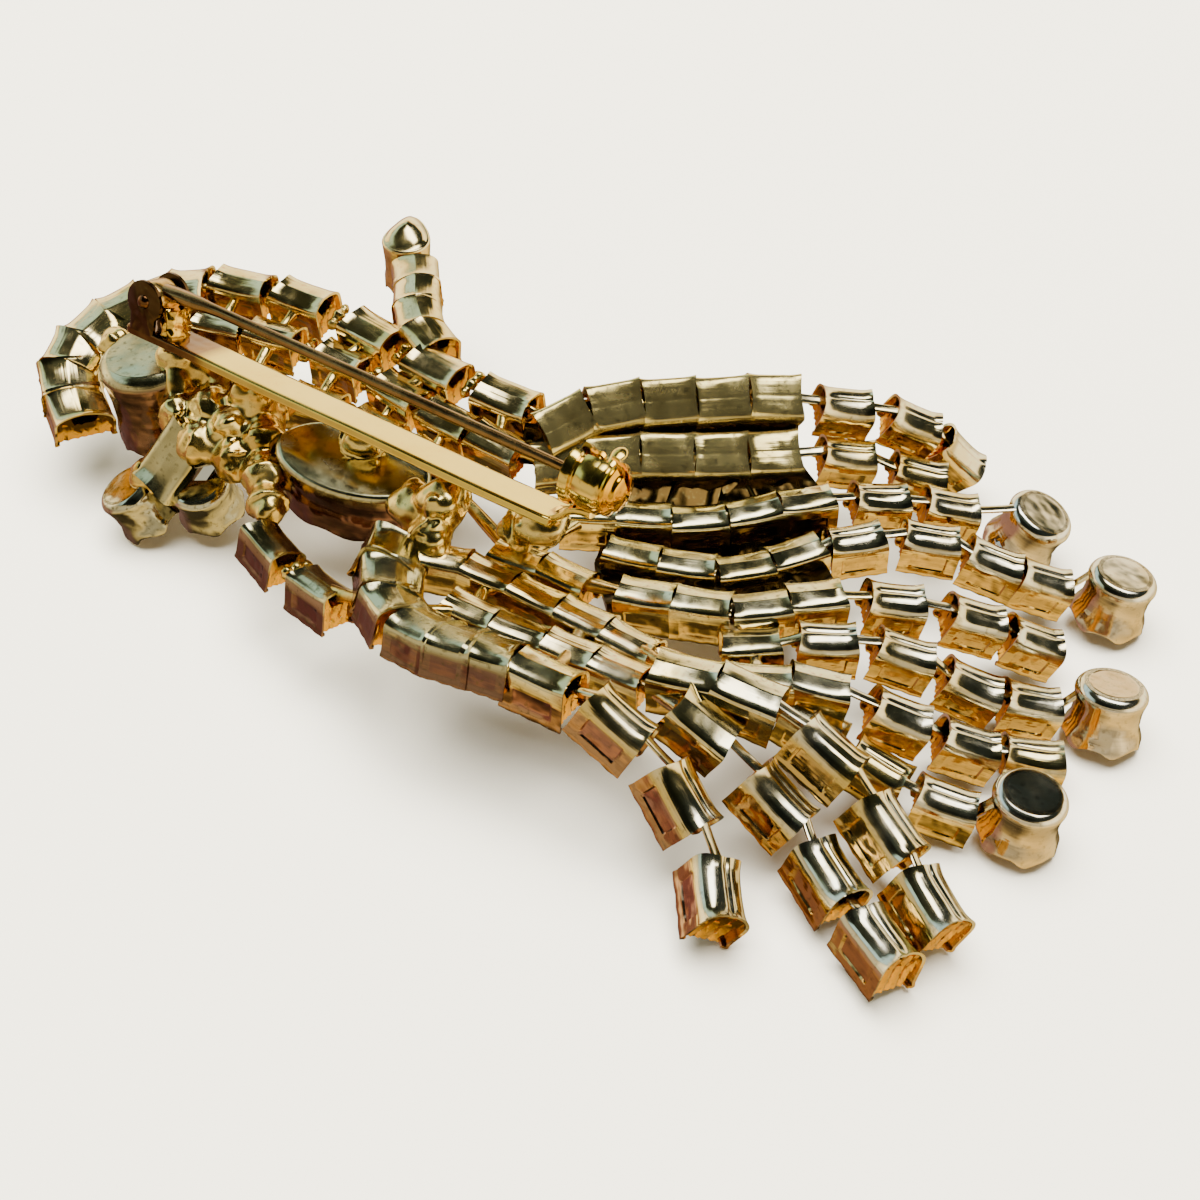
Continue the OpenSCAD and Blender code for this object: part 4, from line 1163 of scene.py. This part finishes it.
@dataclass
class LeftCluster:
    """The large single cups of the left end, and the oval and pear cups."""

    big: StoneCup = field(default_factory=lambda: StoneCup(
        Outline.ROUND, 4.4, 4.4, 7.6, 1.1, claws=8, claw_size=0.4, waist=0.05, dome=0.06, tone=0.9))
    small: StoneCup = field(default_factory=lambda: StoneCup(
        Outline.ROUND, 2.6, 2.6, 3.85, 0.7, claw_size=0.45, waist=0.06, flare=0.08, tone=0.3))
    oval: StoneCup = field(default_factory=lambda: StoneCup(
        Outline.OVAL, 6.6, 3.7, 4.8, 0.5, claws=10, claw_size=0.3, waist=0.02, ledge=0.03, dome=0.05,
        tone=0.95))
    pear: StoneCup = field(default_factory=lambda: StoneCup(
        Outline.PEAR, 2.1, 3.5, 4.4, 0.3, claw_size=0.5, waist=0.06, dome=1.1, lean=0.7))
    box: PressedCup = field(default_factory=lambda: PressedCup(
        long=4.7, flare=0.06, groove=0.0, recess=0.1, square=3.4, shoulder=0.9))

    def build(self, gilt: Material, crumpled: Material, dark: Material) -> None:
        """Builds the cups, each a piece of its own.

        Args:
            gilt: the finish of the pear cup.
            crumpled: the finish of the small round cups.
            dark: the finish of the others, darker by painted reflection.
        """
        turn, pear = math.radians(10), math.radians(118)
        oval_seat = leaning_seat((-15.2, -8.2, 12.0), -60, 5, [math.cos(turn), math.sin(turn), 0.0])
        pear_seat = Seat(np.array([-28.1, 15.4, 13.8]),
                         np.array([math.cos(pear), math.sin(pear), 0.0]), -DOWN)
        plain = (
            ("big_round_cup", self.big, dark, leaning_seat((-37.2, -7.4, 12.4), 200, 8)),
            ("left_round_cup", self.small, crumpled, leaning_seat((-34.2, -15.2, 4.93), 215, 28)),
            ("right_round_cup", self.small, crumpled, leaning_seat((-28.6, -12.4, 6.2), 265, 16)),
            ("oval_cup", self.oval, dark, oval_seat),
            ("pear_cup", self.pear, gilt, pear_seat),
        )
        for number, (name, cup, finish, seat) in enumerate(plain):
            skin = Skin(name)
            cup.add(skin, seat, 0.5 * number)
            skin.make(finish, sharp=60)
        skin = Skin("box_cup")
        seat = seat_facing((-30.4, -13.6, 8.6), np.array([-1.7, -3.2, -4.0]), -DOWN)
        self.box.add(skin, seat.turned(-0.42, 0.0), 1.3, 0.4, 1.0)
        skin.make(dark)


@dataclass
class Solder:
    """Soft solder, gilt over: beads and runs between the cups that have flowed into one another."""

    # Size of the voxels that the lumps are fused in
    voxel: float = 0.16
    # Beads whose middles are nearer than this have flowed together, in a rod of this radius
    joined: float = 5.0
    rod: float = 1.25

    @staticmethod
    def blob(spot: np.ndarray, radii: np.ndarray, phase: float) -> np.ndarray:
        """A lumpy ball: a sphere whose radius swells and sinks by sums of sines.

        Args:
            spot: its middle.
            radii: its radius along X, Y and Z.
            phase: a number that varies one lump from the next.

        Returns:
            The rings of its points.
        """
        lat = np.linspace(0.04, math.pi - 0.04, 14)[:, None]
        lon = ring(20)
        swell = 1 + 0.09 * np.sin(3 * lon + 4 * phase) * np.sin(lat)
        swell = swell + 0.08 * np.sin(4 * lat + 5 * phase + lon)
        ball = grid(np.sin(lat) * np.cos(lon), np.sin(lat) * np.sin(lon), np.cos(lat))
        return spot + ball * swell[..., None] * radii

    @staticmethod
    def run(a: np.ndarray, b: np.ndarray, phase: float, radius: float = 0.5) -> np.ndarray:
        """A run of solder from a to b: a rod, thick at its ends and lumpy between them.

        Args:
            a: where it starts.
            b: where it ends.
            phase: a number that varies one run from the next.
            radius: its radius where it is not swollen.

        Returns:
            The rings of its points.
        """
        t = unit(b - a)
        side = unit(np.cross(t, [0.31, 0.2, 0.93]))
        up = np.cross(side, t)
        s = np.linspace(0, 1, 12)[:, None]
        lon = ring(12)
        thick = radius * (1 + 0.5 * (2 * s - 1) ** 2 + 0.15 * np.sin(9 * s + 6 * phase))
        middle = a + (b - a) * s
        wrap = np.cos(lon)[..., None] * side + np.sin(lon)[..., None] * up
        return middle[:, None] + thick[..., None] * wrap

    @staticmethod
    def web(a: Seat, b: Seat, depth: float, phase: float) -> tuple[np.ndarray, np.ndarray]:
        """A sheet of solder from one cup's flank to the next row's, set deep and finished dark as
        painted shade in the gap.

        Its height is a sum of sines along both its ways, and rises by a fourth power at both
        flanks, where the solder crept up.

        Args:
            a: the first cup's seat.
            b: the second cup's seat.
            depth: how far under their backs it lies.
            phase: a number that varies one sheet from the next.

        Returns:
            The upper and lower grids.
        """
        start, end = a.spot - a.out * depth, b.spot - b.out * depth
        seat = seat_facing(start, unit(end - start), a.out + b.out)
        s = np.linspace(0, 1, 15)[:, None]
        y = np.linspace(-3.1, 2.3, 19)[None, :]
        z = 0.2 + 0.6 * (2 * s - 1) ** 4 + 0.12 * np.sin(1.9 * y + 6 * phase + 4 * s)
        z = z + 0.08 * np.sin(6 * s + 1.1 * y + 9 * phase) + 0.03 * np.sin(4.3 * y - 5 * s + 3 * phase)
        span = float(np.linalg.norm(end - start))
        upper = grid(s * span, y, z)
        lower = upper * [1, 1, 0] + DOWN * 0.35
        return seat.place(upper), seat.place(lower)

    def build(self, gilt: Material, flowed: Material) -> None:
        """Builds the lumps of solder as one fused piece, and the sheets, dark as painted shade, as
        another.

        Args:
            gilt: the finish of the lumps.
            flowed: the finish of the sheets, dark as painted shade.
        """
        rng = np.random.default_rng(23)
        skin = Skin("solder")
        seats = [row.seats() for row in ALL_ROWS]
        for spot, radius in BEADS:
            spot = np.asarray(spot, float)
            skin.tube(self.blob(spot, np.full(3, radius * 1.06), rng.random()))
            for _ in range(4):
                way = unit(rng.normal(size=3) * [1, 1, 0.8])
                radii = radius * rng.uniform(0.38, 0.58, 3)
                skin.tube(self.blob(spot + way * radius * 0.8, radii, rng.random()))
        spots = np.array([spot for spot, _ in BEADS], float)
        apart = np.linalg.norm(spots[:, None] - spots, axis=-1)
        for i, j in zip(*np.where(np.triu(apart < self.joined, 1))):
            skin.tube(self.run(spots[i], spots[j], rng.random(), self.rod))
        for first, i, second, j in TIES:
            a, b = seats[first][i], seats[second][j]
            skin.tube(self.run(a.spot - a.out * 1.1, b.spot - b.out * 1.1, rng.random()))
        for row, all_seats in zip(ALL_ROWS, seats):
            for a, b in zip(all_seats[: row.soldered], all_seats[1 : row.soldered]):
                middle = (a.spot + b.spot) / 2 - (a.out + b.out) * 0.5
                side = np.cross(a.out, a.along)
                for across in (-0.9, 0.0, 0.9):
                    shift = side * across * row.size * row.cup.wide / 3.2
                    spot = middle + shift - a.out * 0.2 * abs(across)
                    skin.tube(self.blob(spot, rng.uniform(0.42, 0.62, 3), rng.random()))
        skin.make(gilt, fuse=self.voxel)
        sheets = Skin("solder_shade_sheets")
        for first, i, second, j, depth in WEBS:
            # Painted shade: the sheets lie deeper than the solder and are dark, standing in for the
            # gaps' shade
            web = self.web(seats[first][i], seats[second][j], depth + 0.9, rng.random())
            sheets.sheet(*web, (0.4, 0.0))
        sheets.make(flowed, sharp=80)


# Fastener

LEAN = math.radians(20)
FASTENER = Seat(np.array([-36.2, -6.9, 15.1]), np.array([1.0, 0.0, 0.0]),
                np.array([0.0, math.sin(LEAN), math.cos(LEAN)]))


def turned_on_x(radius: np.ndarray, x: np.ndarray, angle: np.ndarray, height: float) -> np.ndarray:
    """Points turned about the X axis at a height: ring k has radius[k] at x[k].

    Args:
        radius: a radius for each ring.
        x: a place along X for each ring.
        angle: the angles round the axis, from +Z towards +Y.
        height: the axis's height.

    Returns:
        The grid of points.
    """
    r = radius[:, None]
    return grid(x[:, None], r * np.sin(angle), height + r * np.cos(angle))


def turned_on_y(radius: np.ndarray, y: np.ndarray, count: int, height: float) -> np.ndarray:
    """Rings turned about the Y axis at a height: ring k has radius[k] at y[k]."""
    r, a = radius[:, None], ring(count)
    return grid(r * np.cos(a), y[:, None], height + r * np.sin(a))


@dataclass
class Fastener:
    """The bar with its ears and catch, the rivet, the pin and the turning sleeve."""

    # The bar's length, width and thickness, and how far it reaches behind the hinge
    bar_l: float = 41.5
    bar_w: float = 3.6
    bar_t: float = 0.8
    bar_back: float = 1.6
    # The ears' radius and thickness, and the rivet's height over the bar
    ear_r: float = 1.75
    ear_t: float = 0.4
    rivet_h: float = 2.4
    # The eye's radius and width, and the wire's radius
    eye_r: float = 1.5
    eye_w: float = 2.2
    pin_r: float = 0.45
    # The catch's distance from the hinge, and its radius
    catch_x: float = 42.2
    catch_r: float = 2.1

    @property
    def pin_h(self) -> float:
        """Height of the wire's middle over the bar."""
        return self.rivet_h + self.eye_r - self.pin_r

    def build(self, rolled: Material, wire: Material, turned: Material) -> None:
        """Builds the fastener's pieces.

        Args:
            rolled: the finish of the bar.
            wire: the finish of the pin and the rivet.
            turned: the finish of the ears, the tongue and the catch.
        """
        self._bar().make(rolled, sharp=55)
        self._ears().make(turned)
        self._heel().make(turned, sharp=70)
        self._housing().make(turned)
        self._rivet().make(wire, slot="pin_gilt", stands_for="hinge_rivet")
        self._pin().make(wire, Body.STEM, "pin_gilt", "pin_stem")
        self._sleeve().make(turned, Body.SLEEVE, stands_for="catch_sleeve")

    def _bar(self) -> Skin:
        """The flat bar: a rounded rectangle carried along X, drawn in a little at its two ends."""
        skin = Skin("fastener_bar")
        a = ring(48)
        corner = squarish(a, 9)
        y, z = self.bar_w / 2 * np.cos(a) * corner, self.bar_t / 2 * np.sin(a) * corner
        s = np.concatenate([[0, 0.05, 0.2, 0.6], np.linspace(2, self.bar_l - 2, 30),
                            self.bar_l - np.array([0.6, 0.2, 0.05, 0])])
        near = np.minimum(s, self.bar_l - s)
        draw = (1 - 0.1 * np.exp(-near / 0.18))[:, None]
        sway = (0.03 * np.sin(s / 3.1))[:, None]
        points = grid((s - self.bar_back)[:, None], y * draw, z * draw - self.bar_t / 2 + sway)
        # Painted shade: the bar is painted brown near the hinge, where the pin and the solder shade it
        skin.tube(FASTENER.place(points), grid(0.85 * (1 - ease(s, 5.5, 9.5))[:, None], 0.0))
        return skin

    def _ears(self) -> Skin:
        """Two ears: each a round plate with softened faces, on a foot a little narrower than it."""
        skin = Skin("hinge_ears")
        a = ring(56, math.pi / 2)
        x = self.ear_r * np.cos(a)
        z = self.rivet_h + self.ear_r * np.sin(a)
        # Below this sine the outline leaves the circle and runs down to the underside of the bar
        low = -0.72
        round_part = np.sin(a) >= low
        foot = -low * self.ear_r * np.sign(np.cos(a)) * np.abs(np.cos(a) / 0.694) ** 0.2
        x = np.where(round_part, x, foot)
        drop = np.clip((low - np.sin(a)) / (1 + low), 0, 1)
        z = np.where(round_part, z, z - (z + 0.4) * ease(drop, 0, 0.5))
        for side in (-1, 1):
            y = side * (self.bar_w / 2 - self.ear_t / 2)
            offsets = np.array([-0.5, -0.36, 0.36, 0.5])[:, None] * self.ear_t
            scale = np.array([0.93, 1.0, 1.0, 0.93])[:, None]
            plate = grid(x * scale, y + offsets, self.rivet_h + (z - self.rivet_h) * scale)
            # Painted shade: the ears are painted dark brown all over, as the hinge's shade
            skin.tube(FASTENER.place(plate), (1.0, 0.0))
        return skin

    def _heel(self) -> Skin:
        """The crumpled tongue under the pin's neck: a block whose sides ripple along its height."""
        skin = Skin("hinge_tongue")
        h = np.linspace(0, 1, 18)[:, None]
        a = ring(28)
        corner = squarish(a, 4)
        crease = 1 + 0.09 * np.sin(5 * a + 3 * h) + 0.06 * np.sin(11 * a - 5 * h)
        crease = crease + 0.05 * np.sin(14 * h + 2 * a)
        x = 2.25 - 0.35 * h + 0.85 * (1 - 0.25 * h) * np.cos(a) * corner * crease
        y = 1.25 * np.sin(a) * corner * crease * (1 - 0.12 * h)
        z = -0.3 + 2.55 * h + 0.08 * np.cos(3 * a) * h
        # Painted reflection: the tongue takes half of the fold colour's amber
        skin.tube(FASTENER.place(grid(x, y, z)), (0.0, 0.5))
        return skin

    def _housing(self) -> Skin:
        """The catch's barrel: a ribbed sheet with a domed end, open along its top and at a window."""
        skin = Skin("catch_housing")
        h, r, c = self.pin_h, self.catch_r, self.catch_x
        slot, gap = 0.6, 0.52
        turn = np.linspace(0.0, 1.42, 26)
        bead = 1 + 0.055 * np.sin(turn * 15) * ease(turn, 0.1, 0.4)
        parts = (
            (np.array([-2.0, -1.96, -1.85, -1.5, -1.2, -1.12, -1.06, -0.9, -0.8, -gap]),
             np.array([2.0, 2.22, 2.36, 2.36, 2.22, 2.02, 1.98, 2.04, 2.16, 2.2]), slot / 2),
            (np.array([-gap, -0.2, 0.2, gap]), np.array([2.2, 2.24, 2.24, 2.22]), 2.55),
            (np.concatenate([[gap], 0.62 + r * np.sin(turn)]),
             np.concatenate([[2.22], (r + 0.12) * np.cos(turn) * bead]), slot / 2),
        )
        for x, radius, start in parts:
            angle = np.linspace(start, 2 * math.pi - slot / 2, 60)
            outer = turned_on_x(radius, c + x, angle, h)
            inner = turned_on_x(np.maximum(radius - 0.3, 0.1), c + np.minimum(x, 2.3), angle, h)
            # The dome takes the painted amber reflection, and the rest a little of it
            amber = 0.15 + 0.85 * ease(x, 0.9, 1.8)[:, None]
            skin.sheet(FASTENER.place(outer), FASTENER.place(inner), grid(0.0, amber))
        # The foot: a strip that rises from the bar's end and goes into the barrel's underside
        path = cut_corners(np.array(
            [[-3.9, -0.45], [-2.9, -0.4], [-2.0, 0.0], [-1.3, 0.8], [-0.4, 1.2], [0.6, 1.3]]))
        wide = np.linspace(1.5, 1.1, len(path))[:, None]
        a = ring(20)
        corner = squarish(a, 4)
        foot = grid(c + path[:, :1], wide * np.cos(a) * corner, path[:, 1:] + 0.4 * np.sin(a) * corner)
        # Painted reflection: the foot takes a little of the fold colour's amber
        skin.tube(FASTENER.place(foot), (0.0, 0.3))
        return skin

    def _rivet(self) -> Skin:
        """The rivet: a shaft turned about Y with a domed head at each end."""
        skin = Skin("hinge_rivet_shaft")
        half = self.bar_w / 2
        y = np.array([half + 0.36, half + 0.34, half + 0.26, half + 0.14, half + 0.03, half + 0.02])
        r = np.array([0.04, 0.22, 0.4, 0.52, 0.58, 0.4])
        r, y = np.concatenate([r, r[::-1]]), np.concatenate([y, -y[::-1]])
        skin.tube(FASTENER.place(turned_on_y(r, y, 32, self.rivet_h)), (0.6, 0.0))
        return skin

    def _pin(self) -> Skin:
        """The pin: a rolled eye, a neck that it is flattened from, and a wire ground to a point."""
        skin = Skin("pin")
        a = ring(20)
        corner = squarish(a, 6)
        radius = 1.03 + 0.47 * np.cos(a) * corner
        y = self.eye_w / 2 * np.sin(a) * corner
        # Painted reflection: the eye takes a little of the fold colour's amber
        skin.loop(FASTENER.place(turned_on_y(radius, y, 40, self.rivet_h)), (0.0, 0.3))
        # Place along the pin, half its width, half its height, and how far its middle is shifted
        neck = ((0.4, 0.9, 0.42, -0.1), (1.2, 0.86, 0.52, -0.12), (2.4, 0.78, 0.6, -0.14),
                (4.2, 0.68, 0.62, -0.12), (5.2, 0.52, 0.5, -0.04), (6.4, 0.46, 0.455, 0))
        round_part = ((12, 0.45), (20, 0.45), (28, 0.45), (34, 0.45), (37, 0.43), (40.2, 0.38),
                      (41.6, 0.26), (42.6, 0.13), (43.2, 0.03))
        stations = np.array([*neck, *((x, r, r, 0) for x, r in round_part)])
        x, wide, high, shift = stations.T[..., None]
        wire = grid(x, wide * np.cos(a), self.pin_h + shift + high * np.sin(a))
        skin.tube(FASTENER.place(wire), (0.3, 0.0))
        return skin

    def _sleeve(self) -> Skin:
        """The turning sleeve: a split tube, with a thumb tab on a short stalk."""
        skin = Skin("catch_tube")
        angle = np.linspace(0.5, 2 * math.pi - 0.5, 48)
        x = np.array([-1.5, -1.44, -1.2, 1.2, 1.44, 1.5])
        radius = np.array([1.27, 1.34, 1.35, 1.35, 1.34, 1.27])
        outer, inner = (turned_on_x(r, self.catch_x + x, angle, self.pin_h)
                        for r in (radius, np.full(6, 0.8)))
        # Painted reflection: the sleeve takes most of the fold colour's amber
        skin.sheet(FASTENER.place(outer), FASTENER.place(inner), (0.0, 0.6))
        turn = math.radians(62)
        out = np.array([0.0, math.sin(turn), math.cos(turn)])
        stalk = Seat(np.array([self.catch_x, 0.0, self.pin_h]), np.array([1.0, 0.0, 0.0]), out)
        # Size of the stalk and the tab at each height over the axis
        profile = np.array([[0.34, 1.0], [0.34, 1.6], [0.34, 2.2], [0.42, 2.6], [0.5, 2.9], [0.5, 3.2],
                            [0.4, 3.5], [0.24, 3.7], [0.04, 3.8]])
        r, a = profile[:, :1], ring(20)
        tab = grid(1.2 * r * np.cos(a), 0.5 * r * np.sin(a), profile[:, 1:])
        # Painted reflection: the tab takes a trace of the fold colour's amber
        skin.tube(FASTENER.place(stalk.place(tab)), (0.0, 0.2))
        return skin


# Studio


@dataclass
class Studio:
    """A plain pale floor, soft light from a tent with a bright top, and the camera."""

    # Where the camera is and what it looks at, in mm, and its focal length
    eye: tuple[float, float, float] = (69.39, -98.4, 116.72)
    target: tuple[float, float, float] = (6.92, -5.78, 5.0)
    lens: float = 61.5
    box_watts: float = 44.0
    left_ground: str = "#C29484"
    right_ground: str = "#F0D490"
    left_sky: str = "#AACCD8"
    right_dark: str = "#5A645C"
    # Elevation in degrees, colour and brightness of the tent
    tent: tuple = (
        (-90, "#7A6C50", 0.45), (-55, "#7E6E4C", 0.5), (-42, "#9E8A60", 0.9), (-30, "#CDB478", 1.45),
        (-18, "#E2CC98", 1.65), (-6, "#EEE0BC", 2.1), (4, "#F4E8C8", 2.85), (16, "#F2E4BE", 2.85),
        (23, "#EEDCB4", 2.6), (28, "#86866A", 0.42), (34, "#767C68", 0.27), (50, "#6C725E", 0.23),
        (66, "#6E7464", 0.26), (80, "#A8A898", 0.6), (90, "#B8B8A8", 0.8),
    )

    def build(self) -> None:
        """Builds the floor, the light and the camera."""
        self._floor()
        self._light()
        self._camera()

    def _floor(self) -> None:
        """A flat sheet of paper, wider than the view."""
        mesh = bpy.data.meshes.new("floor")
        half = 1.5
        corners = [(-half, -half, 0), (half, -half, 0), (half, half, 0), (-half, half, 0)]
        mesh.from_pydata(corners, [], [(0, 1, 2, 3)])
        floor = bpy.data.objects.new("floor", mesh)
        bpy.context.scene.collection.objects.link(floor)
        mesh.materials.append(FloorFinish().material())
        floor.visible_glossy = False

    def _light(self) -> None:
        """A light tent, its brightness and colour by height with a few patches, and a soft box."""
        world = bpy.data.worlds.new("light_tent")
        bpy.context.scene.world = world
        world.use_nodes = True
        tree = world.node_tree
        way = add_node(tree, "ShaderNodeTexCoord").outputs["Generated"]
        axes = add_node(tree, "ShaderNodeSeparateXYZ", {"Vector": way}).outputs
        level = ranged(tree, axes["Z"], (-1.0, 1.0))
        # A ramp holds no value over one, so the brightness is stored as a tenth
        shade = ramp(tree, level, [(self._level(e), linear(c)) for e, c, _ in self.tent])
        tenth = ramp(tree, level, [(self._level(e), (*[b / 10] * 3, 1.0)) for e, _, b in self.tent])
        # Patches of the tent: each by the axes of the direction, where it starts and where it is full
        low_left = self._patch(tree, axes, ("Z", -0.02, -0.2), ("X", -0.45, -0.65))
        high_left = self._patch(tree, axes, ("Z", 0.42, 0.5), ("X", -0.46, -0.54), ("Z", 0.76, 0.68))
        high_right = self._patch(tree, axes, ("Z", 0.42, 0.5), ("X", -0.36, -0.22))
        front = self._patch(tree, axes, ("Z", -0.3, -0.12), ("Y", -0.2, -0.5))
        low_right = self._patch(tree, axes, ("Z", -0.3, -0.5), ("X", 0.1, 0.4))
        lamp_face = self._patch(tree, axes, ("Y", 0.09, 0.15), ("Y", 0.5, 0.42), ("Z", 0.6, 0.7),
                                ("X", -0.38, -0.26), ("X", 0.5, 0.4))
        for share, code in ((low_left, self.left_ground), (high_right, self.right_dark),
                            (low_right, self.right_ground), (high_left, self.left_sky),
                            (lamp_face, "#FFFFFF")):
            shade = mixed(tree, share, shade, linear(code))
        total = self._weighed(tree, tenth, 10.0, front, -0.65)
        total = self._weighed(tree, total, 1.0, low_left, -0.4)
        for share, amount in ((high_left, 1.7), (lamp_face, 8.0), (low_right, 0.8)):
            total = maths(tree, "MULTIPLY_ADD", share, amount, total)
        feed(tree, tree.nodes["Background"], {"Color": shade, "Strength": total})
        lamp = bpy.data.lights.new("soft_box", "AREA")
        lamp.shape, lamp.size, lamp.energy = "DISK", 1.1, self.box_watts
        box = bpy.data.objects.new("soft_box", lamp)
        box.location = (-0.15, 0.1, 0.9)
        box.rotation_euler = (-box.location).to_track_quat("-Z", "Y").to_euler()
        box.visible_glossy = False
        bpy.context.scene.collection.objects.link(box)

    @staticmethod
    def _weighed(tree: Tree, value: Socket, scale: float, share: Socket, change: float) -> Socket:
        """A value times a scale, times one plus a change where the share is one."""
        weight = maths(tree, "MULTIPLY_ADD", share, change, 1.0)
        return maths(tree, "MULTIPLY", maths(tree, "MULTIPLY", value, scale), weight)

    @staticmethod
    def _patch(
        tree: Tree, axes: bpy.types.NodeOutputs, *bands: tuple[str, float, float]
    ) -> Socket:
        """The share of a patch of the tent, from 0 outside it to 1 inside.

        Args:
            tree: the world's node tree.
            axes: the outputs that give the direction's X, Y and Z.
            *bands: for each band an axis, the value where it starts and the one where it is full.

        Returns:
            The output that gives the share.
        """
        parts = [ranged(tree, axes[axis], (start, stop)) for axis, start, stop in bands]
        return reduce(lambda share, part: maths(tree, "MULTIPLY", share, part), parts)

    @staticmethod
    def _level(degrees: float) -> float:
        """The place on the tent's ramps of an elevation in degrees."""
        return 0.5 + 0.5 * math.sin(math.radians(degrees))

    def _camera(self) -> None:
        """The camera, at the photograph's angle."""
        data = bpy.data.cameras.new("camera")
        data.lens = self.lens
        data.sensor_width = 36.0
        data.clip_start, data.clip_end = 0.005, 20.0
        camera = bpy.data.objects.new("camera", data)
        eye, target = Vector(self.eye) * MM, Vector(self.target) * MM
        camera.location = eye
        camera.rotation_euler = (target - eye).to_track_quat("-Z", "Y").to_euler()
        bpy.context.scene.collection.objects.link(camera)
        bpy.context.scene.camera = camera


def dress_stones() -> None:
    """Gives every CAD stone its foiled crystal finish."""
    crystal = CrystalFinish().material()
    for name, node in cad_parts.items():
        if "stone" in name:
            node.data.materials.clear()
            node.data.materials.append(crystal)
    log.info("stones dressed")


def main() -> None:
    logging.basicConfig(level=logging.INFO, format="%(name)s: %(message)s")
    # browned is the gilt painted darker and browner, as painted reflection
    gilt, browned = GILT.material(), DARK_REFLECTION_GILT.material()
    Studio().build()
    CupRows().build(gilt, SATIN.material(), HEATED.material(), browned)
    Strands().build(gilt)
    DropCups().build(DRAWN.material())
    LeftCluster().build(gilt, CRUMPLED.material(), browned)
    Solder().build(SOLDERED.material(), SHADE_SOLDER.material())
    Fastener().build(ROLLED.material(), WIRE.material(), TURNED.material())
    dress_stones()


if __name__ == "__main__":
    main()
